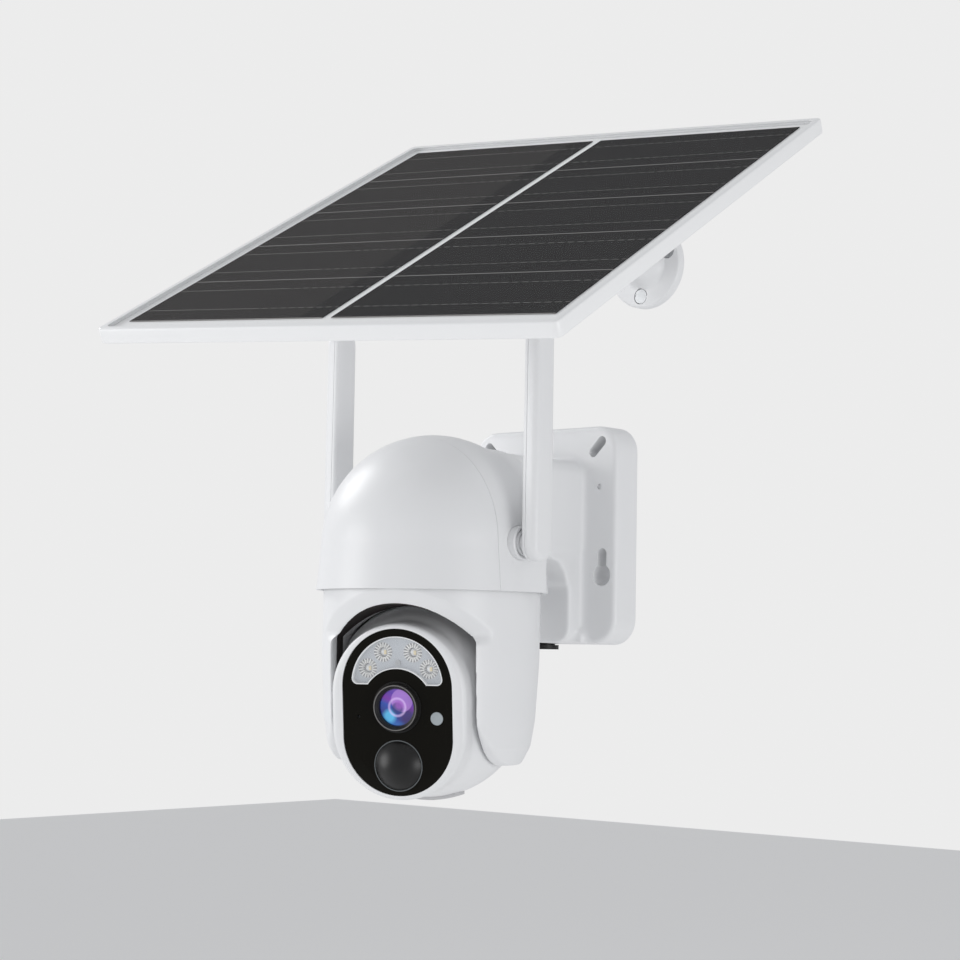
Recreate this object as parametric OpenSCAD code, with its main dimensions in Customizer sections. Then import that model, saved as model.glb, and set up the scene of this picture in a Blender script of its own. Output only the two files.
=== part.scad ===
// Solar-powered pan and tilt security camera on a wall bracket, with its own solar panel arm.
// Frame: the wall is the plane Y = 0, the object stands out of it along -Y, +Z is up.
// Origin: centre of the camera bracket's back face.

/* [Wall bracket] */
// Width of the wall plate
plate_w = 100.6; // [96:0.2:125]
// Height of the wall plate
plate_h = 118.5; // [114:0.5:142]
// Depth of the wall plate
plate_t = 18.5; // [16:0.5:23]
// Corner radius of the wall plate
plate_r = 14; // [8:1:18]
// Width of the raised block on the plate
block_w = 54.6; // [50:0.2:58]
// How far the block stands out of the plate
block_t = 10.5; // [8:0.5:14]
// Width of the arm between block and cap
arm_w = 56; // [46:1:62]
// Height of the arm's top face above the plate's centre
arm_top = 40.5; // [36:0.5:44]
// Height of the arm's lower face, from the plate's centre
arm_low = -16; // [-20:1:-8]
// Wall of the moulded shells
wall = 2.5; // [2:0.1:3]
// Distance from the wall to the pan axis
reach = 109.6; // [92:0.2:132]
// Width of a diagonal screw slot
slot_w = 5.6; // [4.6:0.2:6.4]
// Length of a diagonal screw slot
slot_l = 13.5; // [11:0.5:15]
// Radius of a keyhole's round end
key_r = 5.8; // [5:0.2:6.6]
// Width of a keyhole's narrow end
key_w = 6.2; // [5:0.2:7]

/* [Cap] */
// Radius of the domed cap
dome_r = 58; // [56:0.5:59]
// Radius of the cap's lower rim
rim_r = 60; // [59.5:0.5:66]
// Height of the dome's centre, from the plate's centre
dome_z = -10.3; // [-14:0.1:-6]
// Height of the rim
rim_z = -33.7; // [-38:0.1:-30]
// Distance of the cap's front seam ahead of the pan axis
seam = 14.3; // [12:0.1:18]
// Depth of the square hood behind the pan axis
hood_back = 20.5; // [17:0.5:26]
// Height of the hood's flat top
hood_top = 41; // [39:0.5:44]
// Radius of the hood's upper corners
hood_r = 40; // [34:1:44]

/* [Yoke] */
// Outer radius of the yoke
yoke_r = 56.15; // [54:0.05:58]
// Height of the arms' lower ends
yoke_low = -121.3; // [-128:0.1:-118]
// Half the gap between the arms
fork_half = 38.6; // [38.2:0.1:41]
// Radius of the arch over the head
arch_r = 53.4; // [52:0.2:56]
// Radius of the arms' lower corners
toe_r = 38; // [32:1:40]
// Radius of the hollow pan spindle
spindle_r = 12; // [10:0.5:14]
// Rest angle of the head to the right of straight ahead
head_turn = 21; // [-60:1:60]

/* [Head] */
// Radius of the head's ball
ball_r = 51; // [49:0.5:51.5]
// Half the width of the head between its flat sides
ball_half = 37.3; // [36:0.1:37.6]
// Height of the tilt axis
tilt_z = -88; // [-90:0.5:-86]
// Rest angle of the head below level
head_dip = 6.5; // [0:0.5:30]
// Distance from the tilt axis to the front of the face panel
face_at = 46; // [44:0.5:48]
// Half the width of the nose
nose_half = 35.6; // [34:0.2:36]
// Top of the nose above the tilt axis
nose_top = 42.4; // [41.4:0.2:43]
// Bottom of the nose below the tilt axis
nose_low = 45.8; // [44.6:0.2:47]
// Wall of the head's shells
head_wall = 2.4; // [2:0.1:3]
// Radius of the tilt trunnions
trunnion_r = 5; // [4:0.5:6]

/* [Face] */
// Half the width of the dark face panel
face_half = 29.2; // [28:0.2:30.2]
// Half the height of the dark face panel
face_tall = 41.6; // [40.8:0.2:42]
// Height of the face panel's centre over the tilt axis
face_rise = -1.6; // [-2:0.1:-1]
// Height of the camera lens's centre over the tilt axis
lens_rise = 1; // [0:0.5:2]
// Outer radius of the lens ring
lens_ring_r = 12.8; // [11:0.2:13.4]
// Radius of the lens glass
lens_r = 9.4; // [7:0.2:10]
// Radius of the motion sensor's dome
motion_r = 12.8; // [11:0.2:13.4]
// Height of the motion sensor's centre, below the tilt axis
motion_drop = 28.2; // [27.5:0.1:29]
// Outer radius of the lamp window
lamp_out = 24.2; // [23:0.2:24.6]
// Inner radius of the lamp window, about the lens
lamp_in = 19.2; // [18.4:0.2:20]
// Radius of one lamp reflector
lamp_r = 4.9; // [4:0.1:5.2]
// Radius of the light sensor's window
sensor_r = 3.3; // [2.5:0.1:4]

/* [Antennas] */
// Distance from the pan plane to the middle of each antenna
antenna_x = 69.4; // [69:0.2:76]
// Width of an antenna
antenna_w = 15.4; // [13:0.2:17]
// Thickness of an antenna
antenna_t = 9.5; // [8.5:0.1:11]
// Length of an antenna above its pivot
antenna_up = 117.3; // [90:0.1:124]
// Length of an antenna below its pivot
antenna_down = 9.5; // [8.5:0.1:11]
// Height of the antenna pivot
antenna_z = -9.3; // [-12:0.1:-6]
// Radius of the antenna collar
collar_r = 8.6; // [7.5:0.1:9.5]

/* [Solar bracket] */
// Sideways place of the solar bracket on the wall
solar_x = 56.6; // [40:0.2:70]
// Height of the solar bracket on the wall
solar_z = 147.3; // [140:0.1:190]
// Distance from the wall to the bracket's tilt pivot
solar_out = 77.8; // [76:0.1:95]
// Radius of the round base
base_r = 23.4; // [21:0.2:28]
// Thickness of the round base
base_t = 5; // [4:0.5:7]
// Radius of the bracket's neck
neck_r = 10.5; // [9:0.5:12]
// Swivel of the bracket about its own arm
swivel_turn = 7.4; // [-20:0.1:20]
// Slope of the solar panel
slope = 28.5; // [15:0.5:55]
// Turn of the solar panel on its stud
panel_turn = 8.9; // [-10:0.1:10]

/* [Solar panel] */
// Width of the solar panel
panel_w = 251; // [200:1:300]
// Depth of the solar panel, from front to back
panel_l = 283; // [230:1:300]
// Thickness of the solar panel
panel_t = 7.6; // [7:0.1:9]
// Distance from the stud to the panel's back edge
panel_back_at = 66.8; // [50:0.1:70]
// Distance from the pivot to the panel's underside
panel_up = 32; // [30:0.5:40]
// White border around the cells
border = 9; // [7:0.5:14]
// White strip between the two cell blocks
divider = 5; // [3:0.5:8]

/* [Battery] */
// Radius of a battery cell
cell_r = 9.2; // [8:0.1:9.4]
// Length of a battery cell
cell_l = 65; // [50:1:66]

/* [Hidden] */
$fn = 64;
eps = 0.01;
fit = 0.05;          // running fit of a shaft in its bore
gap = 0.1;           // clearance between fixed pieces
free = 0.4;          // clearance between pieces that move
plate_top = plate_h / 2;
block_y = plate_t + block_t;
hood_start = reach - 3.6;
hood_end = reach - hood_back;
// inside the plate
cover_t = 2;
cover_screw = [22, 53.2];
battery_z = -14;
inlet_r = 4;
inlet_y = 16;
// cap floor, bearing and pan gears
backlash = 0.16;
floor_r = rim_r - wall - 0.9;
board_posts = [[36, 12], [-36, 12], [-38, -12]];
floor_t = 2.5;
floor_top = rim_z + 2 + floor_t;
yoke_top = rim_z + 1.5;
bearing_r = spindle_r + 5;
bearing_up = 3.5;
gear_t = 6;
pan_m = 0.8;
pan_teeth = 60;
pinion_teeth = 12;
pan_gap = (pan_teeth + pinion_teeth) * pan_m / 2 + 0.12;
pan_gear_z = floor_top + bearing_up + free;
pan_motor_z = pan_gear_z + gear_t + 1.2;
pan_motor_r = 14;
pan_motor_l = 17;
nut_t = 4;
board_z = pan_motor_z + pan_motor_l + 5;
board_r = 42;
// tilt drive inside the right arm
tilt_m = 0.6;
tilt_teeth = 48;
tilt_gap = (tilt_teeth + pinion_teeth) * tilt_m / 2 + 0.1;
cheek_t = 2;
arm_skin = 2.6;
back_skin = 3;
arch_z = -40.8 - arch_r;
tilt_gear_x = fork_half + 9;
tilt_gear_t = 2.4;
bush_r = trunnion_r + 3;
flange_t = 0.9;
// side outline of the arms
toe_z = yoke_low + toe_r - 0.2;
toe_w = 41.3;
cheek_w = 35;
cheek_low = yoke_low + 3.5;
cheek_top = -60;
cheek_r = 28;
// head
head_split = 12;
rim_proud = 0.4;
face_t = 2;
ledge = 2.7;
ledge_t = 2.3;
lamp_u = [7.9, 16.3];
lamp_v = [28, 19.9];
lamp_flat = 12.2;
sensor_u = 20.8;
sensor_v = -4.2;
motion_up = 5.4;
motion_ball = (motion_r * motion_r + motion_up * motion_up) / (2 * motion_up);
flap_u = 36;
flap_w = 12;
flap_at = 4;
socket_v = -44.6;
button_u = 8;
button_r = 1.8;
head_screw = [26.4, 25];
// antennas
pin_r = 5;
antenna_in = antenna_x - antenna_t / 2;
antenna_lid = 3;
collar_out = antenna_in - free;
// solar bracket
spindle_in = 6;
base_bevel = 1.5;
neck_out = 40;
ear_in = 5.3;
ear_t = 4.5;
ear_r = 9;
lug_half = 4.9;
bolt_r = 2.5;
stud_r = 4;
stud_flange = 20;
plate_at = 24;
lip_t = 1.2;
panel_r = 3.5;

// ---- shared shapes ----

// Rounded rectangle, centred on x, from low to high on y
module rounded(w, low, high, r) {
    translate([-w / 2 + r, low]) square([w - 2 * r, high - low]);
    translate([-w / 2, low + r]) square([w, high - low - 2 * r]);
    for (x = [-1, 1], y = [low + r, high - r]) translate([x * (w / 2 - r), y]) circle(r);
}

// Upright slot with full round ends
module stadium(half, low, high) {
    translate([-half, low + half]) square([2 * half, high - low - 2 * half]);
    for (y = [low + half, high - half]) translate([0, y]) circle(half);
}

// A drawing in X and Z given a depth along -Y, from y = -from to y = -to
module out_of_wall(from, to) {
    translate([0, -from, 0]) rotate([90, 0, 0]) linear_extrude(to - from) children();
}

// A drawing in Y and Z given a width along X, from x = from to x = to
module across(from, to) {
    translate([from, 0, 0]) rotate([90, 0, 90]) linear_extrude(to - from) children();
}

// A round bar along X
module bar(r, from, to) {
    translate([from, 0, 0]) rotate([0, 90, 0]) cylinder(r = r, h = to - from);
}

// A round bar along -Y
module peg(r, from, to) {
    translate([0, -from, 0]) rotate([90, 0, 0]) cylinder(r = r, h = to - from);
}

module ring(r_out, r_in, h) {
    difference() {
        cylinder(r = r_out, h = h);
        translate([0, 0, -1]) cylinder(r = r_in, h = h + 2);
    }
}

// Involute gear of module m with n teeth, 20 degree pressure angle
function inv(rb, r) = r <= rb ? 0 : sqrt(r * r / (rb * rb) - 1) * 180 / PI - acos(rb / r);
function flank(m, n, r) = let(p = m * n / 2, rb = p * cos(20))
    (90 - backlash / m * 28.6) / n + inv(rb, p) - inv(rb, r);
module gear(m, n, h, bore) {
    p = m * n / 2;
    radii = [p - 1.25 * m, max(p - 0.6 * m, p * cos(20)), p, p + 0.5 * m, p + 0.95 * m];
    steps = [for (k = [0:4]) [radii[k], -flank(m, n, radii[k])], for (k = [4:-1:0]) [radii[k], flank(m, n, radii[k])]];
    difference() {
        linear_extrude(h) polygon([for (i = [0:n - 1], q = steps)
            let(a = i * 360 / n + q[1]) [q[0] * cos(a), q[0] * sin(a)]]);
        translate([0, 0, -1]) cylinder(r = bore, h = h + 2);
    }
}

// ---- places ----
module at_pan() translate([0, -reach, 0]) children();
module at_yoke() at_pan() rotate([0, 0, head_turn]) children();
module at_arm() at_yoke() translate([0, 0, tilt_z]) children();
module at_head() at_arm() rotate([head_dip, 0, 0]) children();
module at_base() translate([solar_x, 0, solar_z]) children();
module at_pivot() translate([solar_x, -solar_out, solar_z]) rotate([0, swivel_turn, 0]) children();
module at_tongue() at_pivot() rotate([slope, 0, 0]) children();
module at_panel() at_tongue() rotate([0, 0, panel_turn]) children();
module both() for (s = [0, 1]) mirror([s, 0, 0]) children();

// ---- wall bracket and cap ----
module slots_2d(grow) {
    for (s = [-1, 1]) translate([s * (plate_w / 2 - 13.3), plate_top - 11.4]) rotate(-45 * s)
        stadium(slot_w / 2 + grow, -slot_l / 2 - grow, slot_l / 2 + grow);
}
module keys_2d(grow) {
    for (s = [-1, 1]) translate([s * (plate_w / 2 - 9.4), 0]) {
        translate([0, -21.9]) circle(key_r + grow);
        stadium(key_w / 2 + grow, -22 - key_w / 2 - grow, -7.4 + grow);
    }
}

// The cap's dome and flare; the hollow one runs out through the rim
module cap_solid(shrink) {
    low = shrink > 0 ? rim_z - 1 : rim_z;
    at_pan() {
        difference() {
            translate([0, 0, dome_z]) sphere(r = dome_r - shrink, $fn = 128);
            translate([-100, -100, low - 100]) cube([200, 200, 100]);
        }
        translate([0, 0, low]) cylinder(r1 = rim_r - shrink, r2 = dome_r - shrink, h = dome_z - low, $fn = 128);
    }
}
module hood_2d(shrink) {
    low = shrink > 0 ? rim_z - 1 : rim_z;
    knee = hood_top - hood_r;
    intersection() {
        union() {
            translate([-rim_r + shrink, low]) square([2 * (rim_r - shrink), knee - low]);
            translate([-rim_r + hood_r, low]) square([2 * (rim_r - hood_r), hood_top - shrink - low]);
            for (s = [-1, 1]) translate([s * (rim_r - hood_r), knee]) circle(hood_r - shrink);
        }
        translate([-100, low]) square([200, 100]);
    }
}
module seam_side(front) {
    translate([-100, front ? -reach - seam - 100 : -reach - seam, -100]) cube([200, front ? 100 : 200, 200]);
}
module collar_seats() {
    at_pan() translate([0, 0, antenna_z]) both() bar(collar_r + gap, dome_r - 6, antenna_x);
}

module bracket_shell() color("#e9eaec") difference() {
    union() {
        out_of_wall(0, plate_t) rounded(plate_w, -plate_top, plate_top, plate_r);
        out_of_wall(plate_t - 1, block_y) rounded(block_w, -plate_top + 0.6, arm_top + 0.5, 9);
        difference() {
            union() {
                out_of_wall(block_y - 1, reach - 2) rounded(arm_w, arm_low, arm_top, 9);
                out_of_wall(hood_end, hood_start) hood_2d(0);
                intersection() {
                    cap_solid(0);
                    seam_side(false);
                }
            }
            cap_solid(wall);
            out_of_wall(hood_end + wall, hood_start + 1) hood_2d(wall);
        }
    }
    // hollow of the plate, the block and the arm, left solid around the screws
    difference() {
        union() {
            out_of_wall(-1, plate_t - wall) rounded(plate_w - 2 * wall, -plate_top + wall, plate_top - wall, plate_r - wall);
            out_of_wall(0, block_y - wall) rounded(block_w - 2 * wall, -plate_top + wall + 0.6, arm_top - wall, 6.5);
        }
        out_of_wall(-2, plate_t) {
            slots_2d(2);
            keys_2d(2);
        }
        out_of_wall(cover_t + gap, plate_t - wall) cover_screws_2d(4);
    }
    out_of_wall(0, plate_t - wall - 1) cover_screws_2d(1.5 + gap);
    out_of_wall(block_y - 4, hood_end + wall + 1) rounded(arm_w - 2 * wall - 1, arm_low + wall, arm_top - wall, 6.5);
    out_of_wall(-1, block_y) {
        slots_2d(0);
        keys_2d(0);
    }
    // way in for the power lead, under the block
    translate([0, -inlet_y, -plate_top - 1]) cylinder(r = inlet_r + 2 + gap, h = 8);
    collar_seats();
}

module cover_screws_2d(r) for (x = [-1, 1], z = [-1, 1])
    translate([x * cover_screw[0], z * cover_screw[1]]) circle(r);
module back_cover() color("#d8d9db") difference() {
    out_of_wall(0, cover_t) rounded(plate_w - 2 * wall - 0.4, -plate_top + wall + 0.2, plate_top - wall - 0.2, plate_r - wall);
    out_of_wall(-1, 4) {
        slots_2d(2.2);
        keys_2d(2.2);
        cover_screws_2d(1.5 + gap);
    }
    out_of_wall(-1, 1.4 + gap) cover_screws_2d(3);
}
module cover_screws() color("#8c8f93") {
    out_of_wall(1, 14) cover_screws_2d(1.5);
    out_of_wall(0.2, 1.4) cover_screws_2d(2.9);
}

module battery_cells() color("#3f7fc4") for (s = [-1, 1])
    translate([s * (cell_r + 0.8), -cell_r - 3.6, battery_z - cell_l / 2]) cylinder(r = cell_r, h = cell_l);
module battery_holder() color("#1c1c1e") difference() {
    translate([-21.5, -9.6, battery_z - cell_l / 2 - 2.4]) cube([43, 6.9, cell_l + 4.8]);
    for (s = [-1, 1]) translate([s * (cell_r + 0.8), -cell_r - 3.6, battery_z - cell_l / 2 - gap])
        cylinder(r = cell_r + gap, h = cell_l + 2 * gap);
}
module charge_board() color("#1f6f43") {
    translate([-20, -9, 22]) cube([40, 1.6, 16]);
    translate([-15, -13, 26]) cube([10, 4, 8]);
    translate([4, -12, 26]) cube([8, 3, 8]);
}
module inlet_gland() color("#2a2a2c") translate([0, -inlet_y, -plate_top - 3]) {
    ring(inlet_r + 2, inlet_r, 11);
    ring(inlet_r + 4, inlet_r, 2.4);
}

module dome_front() color("#ececee") intersection() {
    difference() {
        cap_solid(0);
        cap_solid(wall);
    }
    seam_side(true);
}

module cap_floor() color("#dfe0e2") at_pan() difference() {
    union() {
        translate([0, 0, floor_top - floor_t]) cylinder(r = floor_r, h = floor_t);
        translate([-floor_r, -6, floor_top - floor_t]) cube([2 * floor_r, hood_back - wall - gap + 6, floor_t]);
        for (x = [-1, 1]) translate([x * (pan_motor_r + 4), -pan_gap, floor_top - eps])
            cylinder(r = 3, h = pan_motor_z - floor_top);
        for (p = board_posts) translate([p[0], p[1], floor_top - eps]) cylinder(r = 2.5, h = board_z - floor_top);
    }
    translate([0, 0, floor_top - 10]) cylinder(r = bearing_r + gap, h = 20);
}
module pan_bearing() color("#9a9ca0") at_pan() translate([0, 0, floor_top - floor_t])
    ring(bearing_r, spindle_r + fit, floor_t + bearing_up);
module pan_motor() color("#c2c5c9") at_pan() translate([0, -pan_gap, pan_motor_z]) {
    cylinder(r = pan_motor_r, h = pan_motor_l);
    translate([-pan_motor_r - 7, -3.5, 0]) cube([2 * pan_motor_r + 14, 7, 1]);
}
module main_board() color("#1f6f43") at_pan() translate([0, 0, board_z]) {
    cylinder(r = board_r, h = 1.6);
    translate([-30, -12, -3]) cube([12, 16, 3.01]);
    translate([18, -8, -2]) cube([10, 10, 2.01]);
}
module radio_module() color("#b9bcc0") at_pan() translate([-15, -15, board_z + 1.7]) cube([30, 30, 4]);
module speaker() color("#2b2b2d") at_pan() translate([40, -6, floor_top + gap]) difference() {
    cylinder(r = 13, h = 5);
    translate([0, 0, 3.5]) cylinder(r = 10, h = 3);
}
module antenna_collars() color("#dcdddf") at_pan() translate([0, 0, antenna_z]) both() difference() {
    union() {
        bar(collar_r, dome_r - 5, rim_r + 1.6);
        bar(collar_r - 1.2, dome_r - 5, collar_out);
    }
    bar(pin_r + fit, 0, 100);
}

module pan_pinion() color("#e8e4d8") at_pan() translate([0, -pan_gap, pan_gear_z]) rotate([0, 0, 90])
    rotate([0, 0, 180 / pinion_teeth]) gear(pan_m, pinion_teeth, gear_t, 1.2);

// ---- yoke ----
module yoke_profile(shrink) rotate_extrude($fn = 128) polygon([[0, yoke_top - shrink], [yoke_r - shrink, yoke_top - shrink],
    [yoke_r - shrink, yoke_low + 53], [yoke_r - 0.75 - shrink, yoke_low + 40], [yoke_r - 1.85 - shrink, yoke_low + 22],
    [yoke_r - 4 - shrink, yoke_low + 9], [yoke_r - 9.4 - shrink, yoke_low + shrink], [0, yoke_low + shrink]]);
module side_2d() {
    translate([-70, toe_z]) square([140, 120]);
    translate([-toe_w + toe_r, toe_z - toe_r]) square([2 * (toe_w - toe_r), toe_r + 1]);
    for (s = [-1, 1]) translate([s * (toe_w - toe_r), toe_z]) circle(toe_r);
}
module yoke_shell() color("#e6e7e9") at_yoke() {
    difference() {
        intersection() {
            yoke_profile(0);
            across(-70, 70) side_2d();
        }
        // room for the head: a ball in the middle, an arch in front, a slot below
        intersection() {
            translate([0, 0, tilt_z]) sphere(r = ball_r + 0.8, $fn = 128);
            across(-fork_half, fork_half) translate([-90, -250]) square([180, 300]);
        }
        intersection() {
            union() {
                out_of_wall(0, 70) {
                    translate([0, arch_z]) circle(arch_r, $fn = 128);
                    translate([-60, arch_z - 100]) square([120, 100]);
                }
                    translate([0, 0, tilt_z - 100]) cylinder(r = yoke_r - back_skin, h = 125, $fn = 128);
            }
            across(-fork_half, fork_half) translate([-90, -250]) square([180, 300]);
        }
        // hollow arms and the seats of their cheeks
        both() {
            across(fork_half - 1, fork_half + cheek_t + gap) rounded(2 * cheek_w + 0.4, cheek_low - 0.2, cheek_top + 0.2, cheek_r);
            intersection() {
                across(fork_half - 1, 60) rounded(2 * cheek_w - 5, cheek_low + 2.5, cheek_top - 2.5, cheek_r - 2.5);
                yoke_profile(arm_skin);
            }
        }
        translate([0, 0, yoke_top - 20]) cylinder(r = spindle_r - 4, h = 60);
    }
    translate([0, 0, yoke_top - 1]) ring(spindle_r, spindle_r - 4, pan_gear_z + gear_t + nut_t + 2 - yoke_top);
}
module yoke_cheeks() color("#dfe0e2") at_yoke() both() difference() {
    across(fork_half, fork_half + cheek_t) rounded(2 * cheek_w, cheek_low, cheek_top, cheek_r);
    translate([0, 0, tilt_z]) bar(bush_r + gap, fork_half - 1, fork_half + 5);
}
module pan_gear() color("#e8e4d8") at_yoke() translate([0, 0, pan_gear_z]) rotate([0, 0, -head_turn])
    gear(pan_m, pan_teeth, gear_t, spindle_r + fit);
module pan_retainer() color("#9a9ca0") at_yoke() translate([0, 0, pan_gear_z + gear_t + gap])
    ring(spindle_r + 1.6, spindle_r + fit, nut_t - 1);
module tilt_bushes() color("#b7a98a") at_arm() both() difference() {
    bar(bush_r, fork_half + gap, fork_half + 4.4);
    bar(trunnion_r + fit, fork_half - 2, fork_half + 8);
}
module tilt_motor() color("#c2c5c9") at_arm() translate([0, 0, tilt_gap])
    bar(7, fork_half + cheek_t + 0.3, tilt_gear_x - 0.5);
module tilt_pinion() color("#e8e4d8") at_arm() translate([tilt_gear_x, 0, tilt_gap]) rotate([0, 90, 0])
    rotate([0, 0, 180 / pinion_teeth]) gear(tilt_m, pinion_teeth, tilt_gear_t, 0.9);

// ---- head ----
module nose_2d(shrink) stadium(nose_half - shrink, -nose_low + shrink, nose_top - shrink);
module face_2d(grow) translate([0, face_rise]) stadium(face_half + grow, -face_tall - grow, face_tall + grow);
module head_solid(shrink) {
    intersection() {
        sphere(r = ball_r - shrink, $fn = 128);
        cube([2 * (ball_half - shrink), 200, 200], center = true);
    }
    out_of_wall(8, face_at + rim_proud - (shrink > 0 ? face_t + rim_proud + gap + ledge_t : 0)) nose_2d(shrink);
}
module head_bosses(r, from, to) for (x = [-1, 1], z = [-1, 1])
    translate([x * head_screw[0], 0, z * head_screw[1]]) peg(r, from, to);
module flap_prism(grow, r_out) intersection() {
    sphere(r = r_out, $fn = 128);
    translate([0, -flap_at, -50]) cube([flap_u + 2 * grow, flap_w + 2 * grow, 30], center = true);
}

module head_front() color("#eceded") at_head() {
    difference() {
        head_solid(0);
        head_solid(head_wall);
        translate([-100, -head_split, -100]) cube([200, 200, 200]);
        out_of_wall(face_at - face_t - gap, face_at + 5) face_2d(gap);
        out_of_wall(face_at - 12, face_at + 5) face_2d(-ledge);
    }
    // screw bosses that run on into the ball's wall
    difference() {
        intersection() {
            head_bosses(4.2, head_split, head_split + 20);
            sphere(r = ball_r - 1, $fn = 128);
        }
        head_bosses(1.4 + fit, head_split - 1, head_split + 11);
    }
}
module head_rear() color("#e4e5e7") at_head() difference() {
    union() {
        difference() {
            head_solid(0);
            head_solid(head_wall);
        }
        intersection() {
            head_bosses(4.2, -60, head_split);
            sphere(r = ball_r - 0.5);
        }
    }
    translate([-100, -100 - head_split + gap, -100]) cube([200, 100, 200]);
    head_bosses(3, -60, -30);
    head_bosses(1.4 + fit, -31, 20);
    both() bar(trunnion_r + fit, 20, 60);
    flap_prism(0.4, ball_r + 5);
}
module head_screws() color("#8c8f93") at_head() {
    head_bosses(1.4, -32.4, head_split + 10);
    head_bosses(2.7, -32.5, -30.1);
}
module head_trunnions() color("#c9ccd0") at_head() both() difference() {
    union() {
        bar(trunnion_r, ball_half - head_wall - 4, tilt_gear_x + tilt_gear_t - 0.2);
        bar(bush_r + 1, ball_half + gap, ball_half + flange_t);
        bar(bush_r, ball_half - head_wall - 2.2, ball_half - head_wall - gap);
    }
    bar(trunnion_r - 2.4, 0, 80);
}
module tilt_gear() color("#e8e4d8") at_arm() translate([tilt_gear_x, 0, 0]) rotate([0, 90, 0])
    gear(tilt_m, tilt_teeth, tilt_gear_t, trunnion_r + fit);

module lamp_2d(grow) difference() {
    translate([0, lamp_v[1] - 8.1]) intersection() {
        circle(lamp_out + grow);
        translate([-40, lamp_flat - lamp_v[1] + 8.1 - grow]) square([80, 60]);
    }
    translate([0, lens_rise]) circle(lamp_in - grow);
}
module face_spot(u, v) translate([u, 0, v]) children();
module face_panel() color("#141416") at_head() difference() {
    out_of_wall(face_at - face_t, face_at) face_2d(0);
    out_of_wall(face_at - 5, face_at + 5) lamp_2d(gap);
    face_spot(0, lens_rise) peg(lens_ring_r + gap, face_at - 5, face_at + 5);
    face_spot(0, -motion_drop) peg(motion_r + gap, face_at - 5, face_at + 5);
    face_spot(sensor_u, sensor_v) peg(sensor_r + gap, face_at - 5, face_at + 5);
    face_spot(-sensor_u, sensor_v) peg(0.9, face_at - 5, face_at + 5);
}
module lamp_window() color([0.9, 0.93, 0.96, 0.5]) at_head() out_of_wall(face_at - 1.8, face_at - 0.2) lamp_2d(0);
module lamps() for (i = [0, 1], s = [-1, 1]) face_spot(s * lamp_u[i], lamp_v[i]) children();
module lamp_reflectors() color("#d9dcdf") at_head() lamps() difference() {
    peg(lamp_r, face_at - 7.4, face_at - 2.4);
    translate([0, -face_at + 8, 0]) rotate([90, 0, 0]) cylinder(r1 = 1.9, r2 = lamp_r - 0.4, h = 6);
}
module lamp_board() color("#e8e8e4") at_head() {
    out_of_wall(face_at - 9.2, face_at - 7.6) lamp_2d(-0.2);
    lamps() translate([0, -face_at + 7.0, 0]) cube([2.4, 1.2, 2.4], center = true);
}
module lens_barrel() color("#232325") at_head() face_spot(0, lens_rise) difference() {
    union() {
        peg(lens_ring_r, face_at - 6, face_at + 1.5);
        peg(9.6, face_at - 22, face_at - 5);
    }
    translate([0, -face_at + 2.5, 0]) rotate([90, 0, 0]) cylinder(r1 = lens_r + gap, r2 = lens_ring_r - 1, h = 4.01);
    peg(lens_r + gap, face_at - 8, face_at - 2);
    peg(6, face_at - 30, face_at - 7);
}
module lens_glass() color([0.25, 0.2, 0.5, 0.8]) at_head() face_spot(0, lens_rise) intersection() {
    peg(lens_r, face_at - 7.9, face_at);
    translate([0, -face_at + 19, 0]) sphere(r = 18);
}
module image_board() color("#1f6f43") at_head() face_spot(0, lens_rise) {
    translate([-17, -face_at + 22.1, -17]) cube([34, 1.6, 34]);
    translate([-4, -face_at + 21, -4]) cube([8, 1.11, 8]);
}
module motion_cap(shrink) intersection() {
    peg(motion_r - shrink, face_at - 2, face_at + 20);
    translate([0, -face_at - motion_up + motion_ball, 0]) sphere(r = motion_ball - shrink, $fn = 96);
}
module motion_lens() color("#1b1b1d") at_head() face_spot(0, -motion_drop) difference() {
    union() {
        motion_cap(0);
        peg(motion_r, face_at - 1.9, face_at + eps);
    }
    motion_cap(1);
    peg(motion_r - 1, face_at - 3, face_at + 2 * eps);
}
module motion_sensor() color("#b9bcc0") at_head() face_spot(0, -motion_drop) {
    peg(4.6, face_at - 7, face_at - 2.5);
    translate([-9, -face_at + 7, -8]) cube([18, 1.4, 16]);
}
module light_sensor() color("#b4babd") at_head() face_spot(sensor_u, sensor_v) peg(sensor_r, face_at - 2.6, face_at - 0.1);
module microphone() color("#a8abad") at_head() face_spot(-sensor_u, sensor_v) peg(3, face_at - 5, face_at - 2.5);

module card_socket() color("#3a3a3d") at_head() difference() {
    translate([-12, -flap_at - 5, socket_v]) cube([24, 10, 7]);
    translate([-9.5, -flap_at - 1.5, socket_v - 1]) cube([13, 1.6, 6]);
    translate([button_u, -flap_at, socket_v - 1]) cylinder(r = button_r + fit, h = 6);
}
module card_cover() color("#d5d7da") at_head() difference() {
    flap_prism(0, ball_r + 1.6);
    sphere(r = ball_r - 1.8, $fn = 128);
}
module reset_button() color("#8f9296") at_head() translate([button_u, -flap_at, socket_v - 1.6])
    cylinder(r = button_r, h = 5);

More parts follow.
